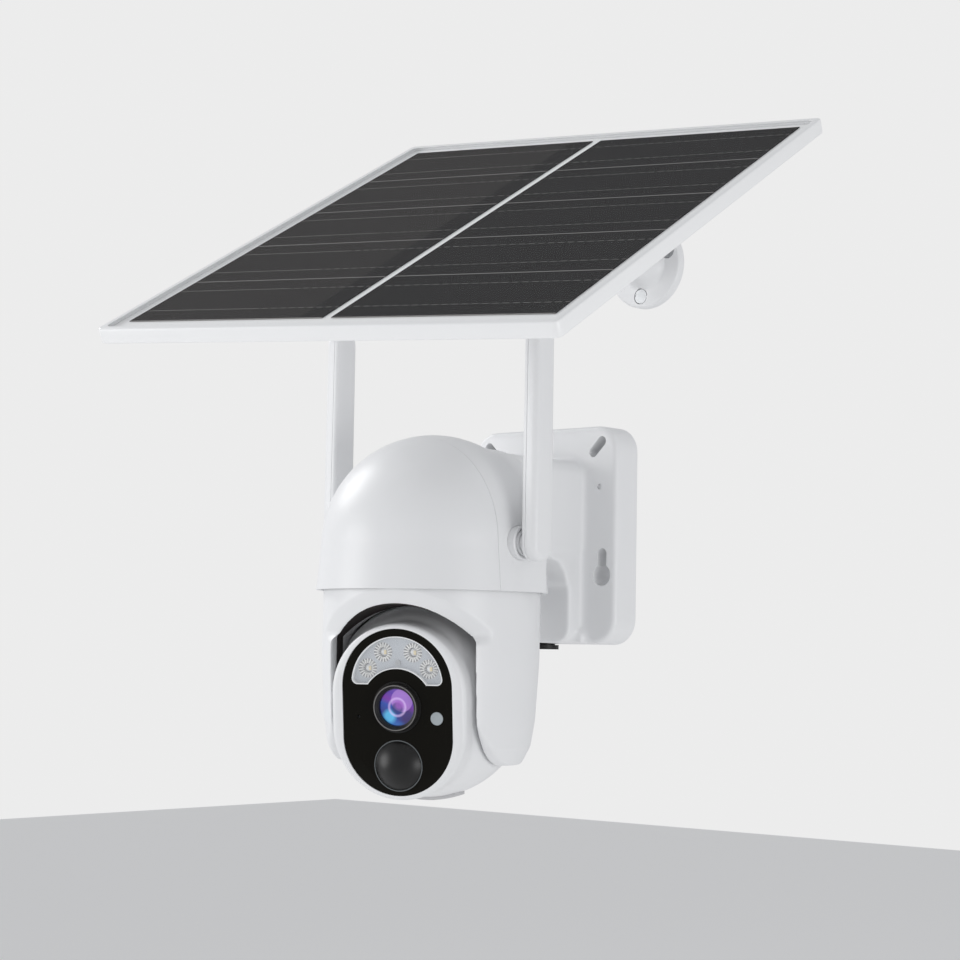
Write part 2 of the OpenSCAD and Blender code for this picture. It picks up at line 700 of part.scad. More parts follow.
// ---- antennas: outer case with a hollow, closed by the lid on the cap's side ----
module antenna_2d(shrink) stadium(antenna_w / 2 - shrink, -antenna_down + shrink, antenna_up - shrink);
module antenna_case(side) color("#eceded") at_pan() translate([0, 0, antenna_z]) mirror([side < 0 ? 1 : 0, 0, 0])
    difference() {
        across(antenna_in + antenna_lid, antenna_in + antenna_t) antenna_2d(0);
        across(antenna_in, antenna_in + antenna_t - 1.8) antenna_2d(1.8);
    }
module antenna_base(side) color("#e6e7e8") at_pan() translate([0, 0, antenna_z]) mirror([side < 0 ? 1 : 0, 0, 0]) {
    across(antenna_in, antenna_in + antenna_lid - gap) antenna_2d(0);
    bar(pin_r, dome_r - 6, antenna_in + 1);
    bar(pin_r + 1.5, dome_r - 7.4, dome_r - 5.4);
    // aerial strip held by the lid, inside the case
    translate([antenna_in + antenna_lid - gap - 0.5, -2.5, 8]) cube([2, 5, antenna_up - 20]);
}
module antenna_left() antenna_case(-1);
module antenna_left_lid() antenna_base(-1);
module antenna_right() antenna_case(1);
module antenna_right_lid() antenna_base(1);

// ---- solar bracket ----
module base_holes() for (i = [0:2]) rotate([0, 120 * i + 7, 0]) translate([0, 0, -base_r + 6.4]) children();
module solar_base() color("#e9eaec") at_base() difference() {
    union() {
        peg(base_r, 0, base_t - base_bevel);
        translate([0, -base_t + base_bevel + eps, 0]) rotate([90, 0, 0])
            cylinder(r1 = base_r, r2 = base_r - base_bevel, h = base_bevel + eps);
        translate([0, -base_t + 1, 0]) rotate([90, 0, 0]) cylinder(r1 = neck_r + 4, r2 = neck_r, h = 11);
        peg(neck_r, base_t, neck_out);
    }
    peg(spindle_in, 18, 60);
    base_holes() {
        peg(2.2, -1, 20);
        peg(4.2, base_t - 2.2, 20);
    }
}
module solar_base_screws() color("#8c8f93") at_base() base_holes() {
    peg(2, 0.3, base_t - 2);
    difference() {
        peg(3.9, base_t - 2.1, base_t - 0.4);
        translate([-4, -base_t - 1, -0.5]) cube([8, 1.8, 1]);
    }
}
module swivel_fork() color("#e4e5e7") at_pivot() {
    translate([0, solar_out, 0]) {
        peg(spindle_in - fit, 18.5, neck_out + 1);
        peg(neck_r, neck_out + free, neck_out + 6);
    }
    difference() {
        union() {
            across(-ear_in - ear_t, ear_in + ear_t) {
                circle(ear_r);
                translate([0, -ear_r]) square([solar_out - neck_out - 5, 2 * ear_r]);
            }
        }
        across(-ear_in, ear_in) translate([-50, -50]) square([50 + ear_r + 1, 100]);
        bar(bolt_r + fit, -30, 30);
    }
}
module tilt_bolt() color("#8c8f93") at_pivot() {
    bar(bolt_r, -ear_in - ear_t - 6, ear_in + ear_t + 1);
    bar(bolt_r + 2.5, ear_in + ear_t + gap, ear_in + ear_t + 3);
}
module thumb_nut() color("#d0d2d5") at_pivot() difference() {
    bar(7, -ear_in - ear_t - 7, -ear_in - ear_t - gap);
    bar(bolt_r + fit, -40, 0);
    for (i = [0:11]) rotate([30 * i, 0, 0]) translate([0, 0, 7.6]) bar(1.1, -40, 0);
}
module tilt_tongue() color("#e4e5e7") at_tongue() difference() {
    union() {
        bar(ear_r, -lug_half, lug_half);
        translate([-lug_half, -7, 0]) cube([2 * lug_half, 14, stud_flange + 1]);
        translate([0, 0, stud_flange]) cylinder(r = 14, h = plate_at - stud_flange - free);
        cylinder(r = stud_r, h = panel_up - 0.8);
    }
    bar(bolt_r + fit, -30, 30);
}
module spin_nut() color("#8c8f93") at_tongue() translate([0, 0, plate_at + 4.4]) difference() {
    cylinder(r = 7, h = 2.6, $fn = 6);
    translate([0, 0, -1]) cylinder(r = stud_r + fit, h = 10);
}

// ---- solar panel ----
module panel_2d(shrink) rounded(panel_w - 2 * shrink, panel_back_at - panel_l + shrink, panel_back_at - shrink, panel_r - min(shrink, 2));
module layer(low, high) translate([0, 0, panel_up + low]) linear_extrude(high - low) children();
module panel_plate() color("#dfe0e2") at_panel() difference() {
    translate([-30, -30, plate_at]) cube([60, 60, panel_up + lip_t - plate_at]);
    translate([0, 0, plate_at - 1]) cylinder(r = stud_r + fit, h = 20);
    translate([0, 0, plate_at + 4]) cylinder(r = 8.6, h = 20);
}
module panel_frame() color("#f1f2f3") at_panel() difference() {
    layer(0, panel_t) panel_2d(0);
    layer(lip_t, panel_t - 0.4) panel_2d(2.2);
    layer(-1, panel_t + 1) panel_2d(4);
    layer(-1, 2) panel_2d(12);
}
module panel_back() color("#f4f4f4") at_panel() layer(lip_t + gap, panel_t - 2.1) panel_2d(2.2 + gap);
module panel_cells() color("#1b1715") at_panel() layer(panel_t - 2, panel_t - 1.6) for (s = [0, 1])
    translate([s == 0 ? -panel_w / 2 + border : divider / 2, panel_back_at - panel_l + border])
        square([panel_w / 2 - border - divider / 2, panel_l - 2 * border]);
module panel_glass() color([0.85, 0.9, 0.95, 0.3]) at_panel() layer(panel_t - 1.5, panel_t - 0.5) panel_2d(2.2 + gap);
module junction_box() color("#2a2a2c") at_panel() difference() {
    union() {
        translate([-28, -112, panel_up - 8]) cube([56, 34, 8 + lip_t]);
        translate([0, -78, panel_up - 4]) rotate([-90, 0, 0]) cylinder(r = 3.6, h = 12);
    }
    translate([0, -74, panel_up - 4]) rotate([-90, 0, 0]) cylinder(r = 2.4, h = 20);
}

bracket_shell();
back_cover();
cover_screws();
battery_cells();
battery_holder();
charge_board();
inlet_gland();
dome_front();
cap_floor();
pan_bearing();
pan_motor();
main_board();
radio_module();
speaker();
antenna_collars();
pan_pinion();
yoke_shell();
yoke_cheeks();
pan_gear();
pan_retainer();
tilt_bushes();
tilt_motor();
tilt_pinion();
head_front();
head_rear();
head_screws();
head_trunnions();
tilt_gear();
face_panel();
lamp_window();
lamp_reflectors();
lamp_board();
lens_barrel();
lens_glass();
image_board();
motion_lens();
motion_sensor();
light_sensor();
microphone();
card_socket();
card_cover();
reset_button();
antenna_left();
antenna_left_lid();
antenna_right();
antenna_right_lid();
solar_base();
solar_base_screws();
swivel_fork();
tilt_bolt();
thumb_nut();
tilt_tongue();
spin_nut();
panel_plate();
panel_frame();
panel_back();
panel_cells();
panel_glass();
junction_box();
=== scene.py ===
import math
import bmesh
import bpy
from mathutils import Matrix, Vector


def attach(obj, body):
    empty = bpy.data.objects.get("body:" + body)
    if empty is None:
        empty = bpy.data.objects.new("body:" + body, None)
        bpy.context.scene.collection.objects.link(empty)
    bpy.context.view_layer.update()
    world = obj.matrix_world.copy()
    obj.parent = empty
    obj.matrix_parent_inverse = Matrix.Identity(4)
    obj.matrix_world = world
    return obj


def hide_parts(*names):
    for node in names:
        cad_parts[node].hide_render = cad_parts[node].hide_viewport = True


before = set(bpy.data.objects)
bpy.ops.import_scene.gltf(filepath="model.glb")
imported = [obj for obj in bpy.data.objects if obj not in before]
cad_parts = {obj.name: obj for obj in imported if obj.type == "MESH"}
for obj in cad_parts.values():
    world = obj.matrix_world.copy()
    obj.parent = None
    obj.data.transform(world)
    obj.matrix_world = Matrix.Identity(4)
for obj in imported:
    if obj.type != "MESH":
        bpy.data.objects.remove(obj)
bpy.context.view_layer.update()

# ---------------------------------------------------------------------------
# Cap and wall bracket: one white ABS housing in two mouldings, a domed front
# and a rear with the square hood, the arm and the wall plate. They meet at an
# upright seam. Drawn in millimetres and brought to metres when set in place.
# ---------------------------------------------------------------------------
reach = 109.6
rim = -33.7
seam = -reach - 14.3
rim_r = 60
dome_r = 58
dome_z = -10.3
hood_back = -89.1
keyhole_x, keyhole_z = 40.9, -21.9
shell = 2.5
plate_w, plate_h, plate_t = 100.6, 118.5, 18.5
block_front = -29
arm_low, arm_top = -16, 40.5


def only(piece):
    only_none()
    piece.select_set(True)
    bpy.context.view_layer.objects.active = piece


def added(name):
    piece = bpy.context.object
    piece.name = name
    only(piece)
    bpy.ops.object.transform_apply(location=True, rotation=True, scale=True)
    return piece


def rod(name, radius, start, end, along="Z", at=(0, 0), sides=96, end_radius=None):
    """A round bar or cone from start to end along an axis; at is its place on
    the other two axes, in X, Y, Z order."""
    turn = {"Z": (0, 0, 0), "X": (0, math.pi / 2, 0), "Y": (-math.pi / 2, 0, 0)}[along]
    middle = (start + end) / 2
    where = {"Z": (at[0], at[1], middle), "X": (middle, at[0], at[1]), "Y": (at[0], middle, at[1])}[along]
    only_none()
    bpy.ops.mesh.primitive_cone_add(
        vertices=sides, radius1=radius, radius2=radius if end_radius is None else end_radius,
        depth=end - start, location=where, rotation=turn)
    return added(name)


def only_none():
    if bpy.context.object and bpy.context.object.mode != "OBJECT":
        bpy.ops.object.mode_set(mode="OBJECT")
    bpy.ops.object.select_all(action="DESELECT")


def ball(name, radius, at=(0, 0, 0), segments=128):
    only_none()
    bpy.ops.mesh.primitive_uv_sphere_add(
        segments=segments, ring_count=segments // 2, radius=radius, location=at)
    return added(name)


def pick(piece, kind, test):
    """Selects in edit mode the elements of one kind that pass the test, and leaves edit mode on."""
    only(piece)
    bpy.ops.object.mode_set(mode="EDIT")
    bpy.ops.mesh.select_mode(type=kind)
    bpy.ops.mesh.select_all(action="DESELECT")
    form = bmesh.from_edit_mesh(piece.data)
    for part in {"VERT": form.verts, "EDGE": form.edges, "FACE": form.faces}[kind]:
        if test(part):
            part.select_set(True)
    form.select_flush_mode()
    bmesh.update_edit_mesh(piece.data)


def edit_done():
    bpy.ops.object.mode_set(mode="OBJECT")


def runs_along(edge, axis):
    way = edge.verts[1].co - edge.verts[0].co
    return way.length > 1e-6 and abs(way[axis]) > 0.999 * way.length


def slab(name, low, high, round_along=None, radius=0.0, steps=10):
    """A block between two corners, with its four edges along one axis rounded."""
    only_none()
    bpy.ops.mesh.primitive_cube_add(size=1, location=[(a + b) / 2 for a, b in zip(low, high)])
    piece = bpy.context.object
    piece.scale = [b - a for a, b in zip(low, high)]
    piece = added(name)
    if round_along:
        axis = "XYZ".index(round_along)
        pick(piece, "EDGE", lambda e: runs_along(e, axis))
        bpy.ops.mesh.bevel(offset=radius, segments=steps, affect="EDGES", clamp_overlap=False)
        edit_done()
    return piece


def stadium(name, half, low, high, start, end, sides=96, middle=0.0):
    """A bar along Y with full round ends at low and high."""
    piece = rod(name, half, start, end, "Y", (middle, low + half), sides)
    centre = low + half
    pick(piece, "VERT", lambda v: v.co.z > centre - 1e-4)
    bpy.ops.transform.translate(value=(0, 0, high - low - 2 * half))
    edit_done()
    return piece


def meet(piece, tool, how):
    """Joins, cuts or crosses a piece with a tool, which is used up."""
    change = piece.modifiers.new(how, "BOOLEAN")
    change.operation = how
    change.solver = "MANIFOLD"
    change.object = tool
    only(piece)
    bpy.ops.object.modifier_apply(modifier=change.name)
    bpy.data.objects.remove(tool)
    return piece


def join(piece, *tools):
    for tool in tools:
        meet(piece, tool, "UNION")
    return piece


def cut(piece, *tools):
    for tool in tools:
        meet(piece, tool, "DIFFERENCE")
    return piece


def keep_inside(piece, *tools):
    for tool in tools:
        meet(piece, tool, "INTERSECT")
    return piece


def moulded(piece, grain, passes):
    """Runs the joined shapes into one skin with small radii on every edge, as a moulding has."""
    skin = piece.modifiers.new("skin", "REMESH")
    skin.mode = "VOXEL"
    skin.voxel_size = grain
    only(piece)
    bpy.ops.object.modifier_apply(modifier=skin.name)
    ease(piece, passes)
    return piece


def ease(piece, passes, where=None):
    """Smooths the skin all over, or where a rule gives each point a weight."""
    soft = piece.modifiers.new("soft", "SMOOTH")
    soft.factor = 0.5
    soft.iterations = passes
    if where:
        group = piece.vertex_groups.new(name="soft")
        for v in piece.data.vertices:
            weight = where(v.co)
            if weight > 0:
                group.add([v.index], weight, "REPLACE")
        soft.vertex_group = group.name
    only(piece)
    bpy.ops.object.modifier_apply(modifier=soft.name)
    piece.vertex_groups.clear()


def sliced(piece, point, normal, keep_front=False):
    """Cuts a piece by a plane and caps it; keeps the side the normal points away from, or the front."""
    only(piece)
    bpy.ops.object.mode_set(mode="EDIT")
    bpy.ops.mesh.select_all(action="SELECT")
    bpy.ops.mesh.bisect(plane_co=point, plane_no=normal, use_fill=True,
                        clear_inner=keep_front, clear_outer=not keep_front)
    edit_done()
    return piece


def copy_of(piece, name):
    twin = piece.copy()
    twin.data = piece.data.copy()
    twin.name = name
    bpy.context.collection.objects.link(twin)
    return twin


def set_in_place(piece, where=None):
    """Brings a piece drawn in millimetres to its place in metres, in its mesh."""
    if where:
        piece.data.transform(where)
    piece.data.transform(Matrix.Scale(0.001, 4))
    return piece


def dress(piece, material, body, stands_for=(), angle=35):
    only(piece)
    piece.data.materials.clear()
    piece.data.materials.append(material)
    bpy.ops.object.shade_smooth_by_angle(angle=math.radians(angle))
    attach(piece, body)
    if stands_for:
        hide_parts(*stands_for)
    return piece


def plain(name, colour, roughness, metallic=0.0, coat=0.0, specular=0.5):
    material = bpy.data.materials.new(name)
    material.use_nodes = True
    skin = material.node_tree.nodes["Principled BSDF"]
    skin.inputs["Base Color"].default_value = (*colour, 1)
    skin.inputs["Roughness"].default_value = roughness
    skin.inputs["Metallic"].default_value = metallic
    skin.inputs["Coat Weight"].default_value = coat
    skin.inputs["Specular IOR Level"].default_value = specular
    return material


def grained(material, size, depth):
    """Gives a plain material the faint grain of a spark-finished mould."""
    nodes, links = material.node_tree.nodes, material.node_tree.links
    place = nodes.new("ShaderNodeTexCoord")
    noise = nodes.new("ShaderNodeTexNoise")
    noise.inputs["Scale"].default_value = size
    noise.inputs["Detail"].default_value = 3
    bump = nodes.new("ShaderNodeBump")
    bump.inputs["Strength"].default_value = depth
    bump.inputs["Distance"].default_value = 0.0002
    links.new(place.outputs["Object"], noise.inputs["Vector"])
    links.new(noise.outputs["Fac"], bump.inputs["Height"])
    links.new(bump.outputs["Normal"], nodes["Principled BSDF"].inputs["Normal"])
    return material


white_plastic = grained(plain("white plastic", (0.78, 0.785, 0.795), 0.36), 2600, 0.10)


def dome_shape(name, less=0.0, low=rim - 6):
    piece = ball(name, dome_r - less, (0, -reach, dome_z))
    low_r = rim_r - less + (rim - low) * (rim_r - dome_r) / (dome_z - rim)
    skirt = rod(name + " skirt", low_r, low, dome_z, "Z", (0, -reach), 128, dome_r - less)
    floor = slab(name + " floor", (-80, -reach - 80, low - 60), (80, -reach + 80, low))
    cut(piece, floor)
    return join(piece, skirt)


def hood_shape(name, less=0.0, low=rim - 6, front=-reach + 4, back=hood_back):
    """Flat top, 40 mm round shoulders and upright sides."""
    piece = slab(name, (-60 + less, front, -60), (60 - less, back, 41 - less), "Y", 40 - less, 24)
    foot = slab(name + " foot", (-60 + less, front, low), (60 - less, back, 1))
    top = slab(name + " trim", (-90, front - 5, low - 80), (90, back + 5, low))
    return cut(join(piece, foot), top)


housing = dome_shape("housing")
hood = hood_shape("hood")
pick(hood, "FACE", lambda f: f.normal.y < -0.99)
bpy.ops.mesh.extrude_region_move(TRANSFORM_OT_translate={"value": (0, -13, 0)})
bpy.ops.transform.resize(value=(0.885, 1, 0.885), center_override=(0, -reach, -8))
edit_done()
arm = slab("arm", (-28, -reach, arm_low), (28, -20, arm_top), "Y", 9)
block = slab("block", (-27.3, block_front, -58.7), (27.3, -10, arm_top + 0.5), "Y", 9)
plate = slab("plate", (-plate_w / 2, -plate_t, -plate_h / 2), (plate_w / 2, 4, plate_h / 2), "Y", 14, 14)
pick(plate, "EDGE", lambda e: all(abs(v.co.y + plate_t) < 1e-3 for v in e.verts))
bpy.ops.mesh.bevel(offset=2.2, segments=4, affect="EDGES", clamp_overlap=False)
edit_done()
root = slab("arm root", (-27.6, block_front - 16, arm_low - 11), (27.6, block_front + 2, arm_low + 4))
cut(root, rod("root fillet", 13, -40, 40, "X", (block_front - 15.5, arm_low - 11.6), 64))
foot = slab("block foot", (-30, -plate_t - 3.5, -58.9), (30, -plate_t + 2, -52))
join(housing, hood, arm, block, plate, root, foot)
moulded(housing, 1.15, 7)


def near(value, middle, width):
    return max(0.0, 1 - abs(value - middle) / width)


ease(housing, 34, lambda p: near(p.y, -reach - 3, 17) if p.z > rim - 2 and p.z < 46 else 0)
ease(housing, 26, lambda p: near(p.y, -plate_t - 2, 5) if abs(p.x) < 36 else 0)
ease(housing, 14, lambda p: near(p.y, block_front - 6, 12) if p.z < arm_low + 8 else 0)
cut(housing, slab("below rim", (-80, -200, -100), (80, -44, rim)))
sliced(housing, (0, 0, 0), (0, 1, 0))

dome_front = sliced(copy_of(housing, "cap_front"), (0, seam - 0.07, 0), (0, 1, 0))
cut(dome_front, dome_shape("cap hollow", shell, rim - 2))

sliced(housing, (0, seam + 0.07, 0), (0, 1, 0), keep_front=True)
cut(housing,
    dome_shape("rear hollow", shell, rim - 2),
    hood_shape("hood hollow", shell, rim - 2, -reach + 5, hood_back - shell),
    slab("arm hollow", (-25, -89, arm_low + shell), (25, -20, arm_top - shell), "Y", 6.5),
    slab("block hollow", (-24.8, block_front + shell, -56), (24.8, 2, 38), "Y", 6.5),
    slab("cover seat", (-47.8, -2.1, -56.8), (47.8, 2, 56.8), "Y", 11.5))


def slot_tool(side):
    """Diagonal slot: the drill runs along it from the inner low end to the outer high end."""
    tool = stadium("slot", 2.8, -6.75, 6.75, -30, 5)
    lean = Matrix.Rotation(side * math.radians(45), 4, "Y")
    tool.data.transform(Matrix.Translation((side * 37, 0, 47.85)) @ lean)
    return tool


for side in (-1, 1):
    cut(housing, slot_tool(side))
    cut(housing, rod("keyhole", 5.8, -30, 5, "Y", (side * keyhole_x, keyhole_z)))
    cut(housing, stadium("key neck", 3.1, -25, -7.4, -30, 5, middle=side * keyhole_x))
    cut(housing, rod("dimple", 1.6, -20, -plate_t + 1.2, "Y", (side * 38.5, 26), 32))
    low, high = sorted((side * 50, side * 70))
    cut(housing, rod("collar hole", 8.7, low, high, "X", (-reach, -9.3)))
cut(housing, rod("inlet hole", 6.1, -70, -50, "Z", (0, -16), 48))

dress(set_in_place(dome_front), white_plastic, "bracket", ["dome_front"], 40)
housing.name = "bracket_housing"
dress(set_in_place(housing), white_plastic, "bracket", ["bracket_shell"], 40)

# ---------------------------------------------------------------------------
# Yoke: the white moulding that turns under the cap. Two tapering arms with
# round toes hold the head, and a wide soft bevel runs round the arch above it.
# ---------------------------------------------------------------------------
yoke_r = 56.15
yoke_top, yoke_low = -32.2, -121.3
fork = 38.6
tilt_z = -88
arch_r = 53.4
arch_z = -40.8 - arch_r
head_turn = 21
at_yoke = Matrix.Translation((0, -reach, 0)) @ Matrix.Rotation(math.radians(head_turn), 4, "Z")

yoke = rod("yoke", yoke_r, -68, yoke_top, "Z", sides=160)
for high, low, top_r, low_r in (
        (-68, -81, 56.15, 55.4), (-81, -99, 55.4, 54.3),
        (-99, -112, 54.3, 52.2), (-112, yoke_low, 52.2, 47.5)):
    join(yoke, rod("yoke taper", low_r, low, high, "Z", sides=160, end_radius=top_r))
toe_r = 38
side_form = slab("side form", (-70, -70, yoke_low - 0.2 + toe_r), (70, 70, 0))
toes = slab("toes", (-70, -41.3, yoke_low - 0.2), (70, 41.3, 20), "X", toe_r, 28)
keep_inside(yoke, join(side_form, toes))
cut(yoke,
    keep_inside(ball("head room", 51.8, (0, 0, tilt_z)),
                slab("slab", (-fork, -70, -200), (fork, 70, 0))),
    keep_inside(rod("arch", arch_r, -70, 0, "Y", (0, arch_z), 160),
                slab("slab", (-fork, -90, -200), (fork, 70, 0))),
    slab("below arch", (-fork, -70, -200), (fork, 0, arch_z)),
    keep_inside(rod("back room", yoke_r - 3, -200, -63, "Z", sides=160),
                slab("slab", (-fork, -70, -220), (fork, 70, 0))))
moulded(yoke, 0.95, 3)
band, band_depth = 6.8, 4.6
for v in yoke.data.vertices:
    around = math.hypot(v.co.x, v.co.y)
    above_arch = math.hypot(v.co.x, v.co.z - arch_z) - arch_r
    if v.co.y < -20 and v.co.z > -60 and -1 < above_arch < band and abs(v.co.x) < fork + band:
        beside = max(0.0, abs(v.co.x) - fork)
        out = max(max(above_arch, 0) / band, beside / band)
        limit = yoke_r - band_depth * (1 - out) * min(1.0, (v.co.z + 60) / 4)
        if around > limit:
            v.co.x *= limit / around
            v.co.y *= limit / around
ease(yoke, 3)
sliced(yoke, (0, 0, yoke_top), (0, 0, 1))
for side in (-1, 1):
    inner, outer = sorted((side * (fork - 0.6), side * (fork + 2.1)))
    cut(yoke, slab("cheek seat", (inner, -35.2, -118.0), (outer, 35.2, -59.8), "X", 28, 20))
    inner, outer = sorted((side * (fork + 1), side * 60))
    pocket = slab("arm hollow", (inner, -32.5, -115.3), (outer, 32.5, -62.5), "X", 25.5, 18)
    cut(yoke, keep_inside(pocket, rod("arm wall", yoke_r - 5.2, -117, -60, "Z", sides=160,
                                      end_radius=yoke_r - 2.6)))
join(yoke, rod("spindle", 12, yoke_top - 1, -14.3, "Z", sides=64))
cut(yoke, rod("spindle bore", 8, yoke_top - 20, 0, "Z", sides=64))
dress(set_in_place(yoke, at_yoke), white_plastic, "yoke", ["yoke_shell"], 40)

# Arch liner: a thin black strip round the inside of the arch, put there as painted shade for the dark gap over the
# head, where there is only shadow.
shade_black_sheet = plain("painted shade black", (0.035, 0.030, 0.030), 0.9, specular=0.1)
liner = keep_inside(rod("arch_shade_sheet", arch_r - 0.1, -56, -27, "Y", (0, arch_z), 160),
                    slab("liner width", (-fork + 0.1, -60, -90), (fork - 0.1, 0, 0)))
cut(liner, keep_inside(rod("liner room", arch_r - 0.7, -60, -20, "Y", (0, arch_z), 160),
                       slab("liner room width", (-fork + 0.6, -61, -95), (fork - 0.6, 1, 5))))
keep_inside(liner, rod("liner front", yoke_r - band_depth - 0.6, -100, 0, "Z", sides=160))
cut(liner, ball("liner back", 51.5, (0, 0, tilt_z)))
dress(set_in_place(liner, at_yoke), shade_black_sheet, "yoke", (), 40)

# ---------------------------------------------------------------------------
# Head: a ball with flat sides and an upright oval nose, in two white shells
# that meet behind the nose. The front one holds the dark face, the rear one
# the card cover in its underside.
# ---------------------------------------------------------------------------
head_r = 51
head_half = 37.3
nose_half, nose_top, nose_low = 35.6, 42.4, -45.8
face_y = -46
face_half, face_top, face_low = 29.2, 40.0, -43.2
split_y = -12
head_dip = 6.5
at_head = at_yoke @ Matrix.Translation((0, 0, tilt_z)) @ Matrix.Rotation(math.radians(head_dip), 4, "X")


def head_form(name, less=0.0):
    return keep_inside(ball(name, head_r - less),
                       slab("sides", (-head_half + less, -70, -70), (head_half - less, 70, 70)))


head = head_form("head_shell")
nose = stadium("nose", nose_half, nose_low, nose_top, face_y - 0.4, -8, 128)
pick(nose, "EDGE", lambda e: all(abs(v.co.y - face_y + 0.4) < 1e-3 for v in e.verts))
bpy.ops.mesh.bevel(offset=2.6, segments=5, affect="EDGES", clamp_overlap=False)
edit_done()
join(head, nose)
moulded(head, 1.0, 8)
ease(head, 24, lambda p: near(p.length, head_r, 5) if p.y < -18 else 0)
head_wall = 2.4
hollow = join(head_form("head hollow", head_wall),
              stadium("nose hollow", nose_half - head_wall, nose_low + head_wall, nose_top - head_wall, -41.6, -8))
cut(head, hollow)
cut(head, stadium("face seat", face_half + 0.1, face_low - 0.1, face_top + 0.1, -60, face_y + 2.1, 128))
cut(head, stadium("face window", face_half - 2.7, face_low + 2.7, face_top - 2.7, -60, -35, 96))
head_back = copy_of(head, "head_back")
head.name = "head_front_shell"
cut(head, slab("rear half", (-70, split_y + 0.06, -70), (70, 70, 70)))
cut(head_back, slab("front half", (-70, -70, -70), (70, split_y - 0.06, 70)))
flap_room = keep_inside(slab("flap room", (-18.4, -10.4, -60), (18.4, 2.4, -40), "Z", 3, 6),
                        ball("flap reach", 60))
cut(head_back, flap_room)
for side in (-1, 1):
    low, high = sorted((side * 20, side * 60))
    cut(head_back, rod("trunnion hole", 5.05, low, high, "X", sides=48))
    for z in (-25, 25):
        cut(head_back, rod("screw well", 3, 30, 60, "Y", (side * 26.4, z), 32))
dress(set_in_place(head, at_head), white_plastic, "head", ["head_front"], 40)
dress(set_in_place(head_back, at_head), white_plastic, "head", ["head_rear"], 40)

# Card cover: a soft grey flap over the memory card slot, on a hinge at its
# back edge, with the same curve as the ball and a finger lip at its front.
grey_rubber = grained(plain("grey rubber", (0.52, 0.52, 0.53), 0.6), 3000, 0.15)
flap = keep_inside(ball("card_flap", head_r + 1.5, segments=160),
                   slab("flap edge", (-18, -10, -60), (18, 2, -40), "Z", 2.8, 6))
cut(flap, ball("flap inside", head_r - 1.8))
cut(flap, slab("finger dent", (-5, -10.5, -54), (5, -8.6, -50.9), "Z", 0.9, 4))
dress(set_in_place(flap, at_head), grey_rubber, "card_cover", ["card_cover"], 30)

# Face: a black gloss acrylic panel with round ends and a fine polished edge,
# cut out for the lamps, the camera lens, the motion lens and the light sensor.
black_gloss = plain("black gloss", (0.005, 0.0045, 0.003), 0.12, specular=0.09)
lens_z = 1
motion_z = -28.2
lamp_z = 11.8
foot_r = 2.8
foot_z = 12.2 + foot_r
foot_x = math.sqrt((24.2 - foot_r) ** 2 - (foot_z - lamp_z) ** 2)
panel = stadium("face_plate", face_half, face_low, face_top, face_y, face_y + 2, 160)
pick(panel, "EDGE", lambda e: all(abs(v.co.y - face_y) < 1e-3 for v in e.verts))
bpy.ops.mesh.bevel(offset=0.45, segments=3, affect="EDGES", clamp_overlap=False)
edit_done()


def lamp_form(name, grow, start, end):
    """The crescent over the lens: a round top, flat feet with small round
    corners, hollowed round the lens."""
    top = rod(name, 24.2 + grow, start, end, "Y", (0, lamp_z), 160)
    keep_inside(top, slab("crescent foot", (-40, start - 1, foot_z), (40, end + 1, 80)))
    join(top, slab("foot", (-foot_x, start, 12.2 - grow), (foot_x, end, foot_z + 0.1)))
    for x in (-foot_x, foot_x):
        join(top, rod("foot corner", foot_r + grow, start, end, "Y", (x, foot_z), 48))
    return cut(top, rod("crescent hollow", 19.2 - grow, start - 1, end + 1, "Y", (0, lens_z), 128))


cut(panel, lamp_form("lamp opening", 0.25, face_y - 2, face_y + 4))
cut(panel, rod("lens opening", 12.9, face_y - 2, face_y + 4, "Y", (0, lens_z), 96))
cut(panel, rod("motion opening", 12.9, face_y - 2, face_y + 4, "Y", (0, motion_z), 96))
cut(panel, rod("sensor opening", 3.4, face_y - 2, face_y + 4, "Y", (20.8, -4.2), 48))
cut(panel, rod("sound hole", 0.9, face_y - 2, face_y + 4, "Y", (-20.8, -4.2), 24))
dress(set_in_place(panel, at_head), black_gloss, "head", ["face_panel"], 30)

# ---------------------------------------------------------------------------
# Lamps: a clear acrylic window in a fine white rim, and behind it a pale tray
# with four ribbed reflector cups, each with a domed white lamp and yellow die.
# ---------------------------------------------------------------------------
lamp_places = [(-16.3, 19.9), (-7.9, 28.0), (7.9, 28.0), (16.3, 19.9)]
clear = bpy.data.materials.new("clear acrylic")
clear.use_nodes = True
skin = clear.node_tree.nodes["Principled BSDF"]
skin.inputs["Base Color"].default_value = (0.95, 0.97, 1, 1)
skin.inputs["Roughness"].default_value = 0.05
skin.inputs["Alpha"].default_value = 0.16
window = lamp_form("lamp_pane", 0, face_y + 0.15, face_y + 1.2)
dress(set_in_place(window, at_head), clear, "head", ["lamp_window"], 30)

rim_white = plain("white rim", (0.82, 0.83, 0.84), 0.3)
rim_ring = lamp_form("lamp_rim", 0.15, face_y - 0.02, face_y + 2.2)
cut(rim_ring, lamp_form("rim hole", -0.35, face_y - 1, face_y + 4))
dress(set_in_place(rim_ring, at_head), rim_white, "head", (), 30)

tray_grey = plain("pale tray", (0.46, 0.49, 0.53), 0.3)
tray = lamp_form("lamp_tray", 0.1, face_y + 2.6, face_y + 7.4)
for x, z in lamp_places:
    cut(tray, rod("cup room", 4.9, face_y, face_y + 9, "Y", (x, z), 64))
cut(tray, rod("screw well", 1.5, face_y, face_y + 4, "Y", (0, 22.8), 32))
dress(set_in_place(tray, at_head), tray_grey, "head", (), 30)

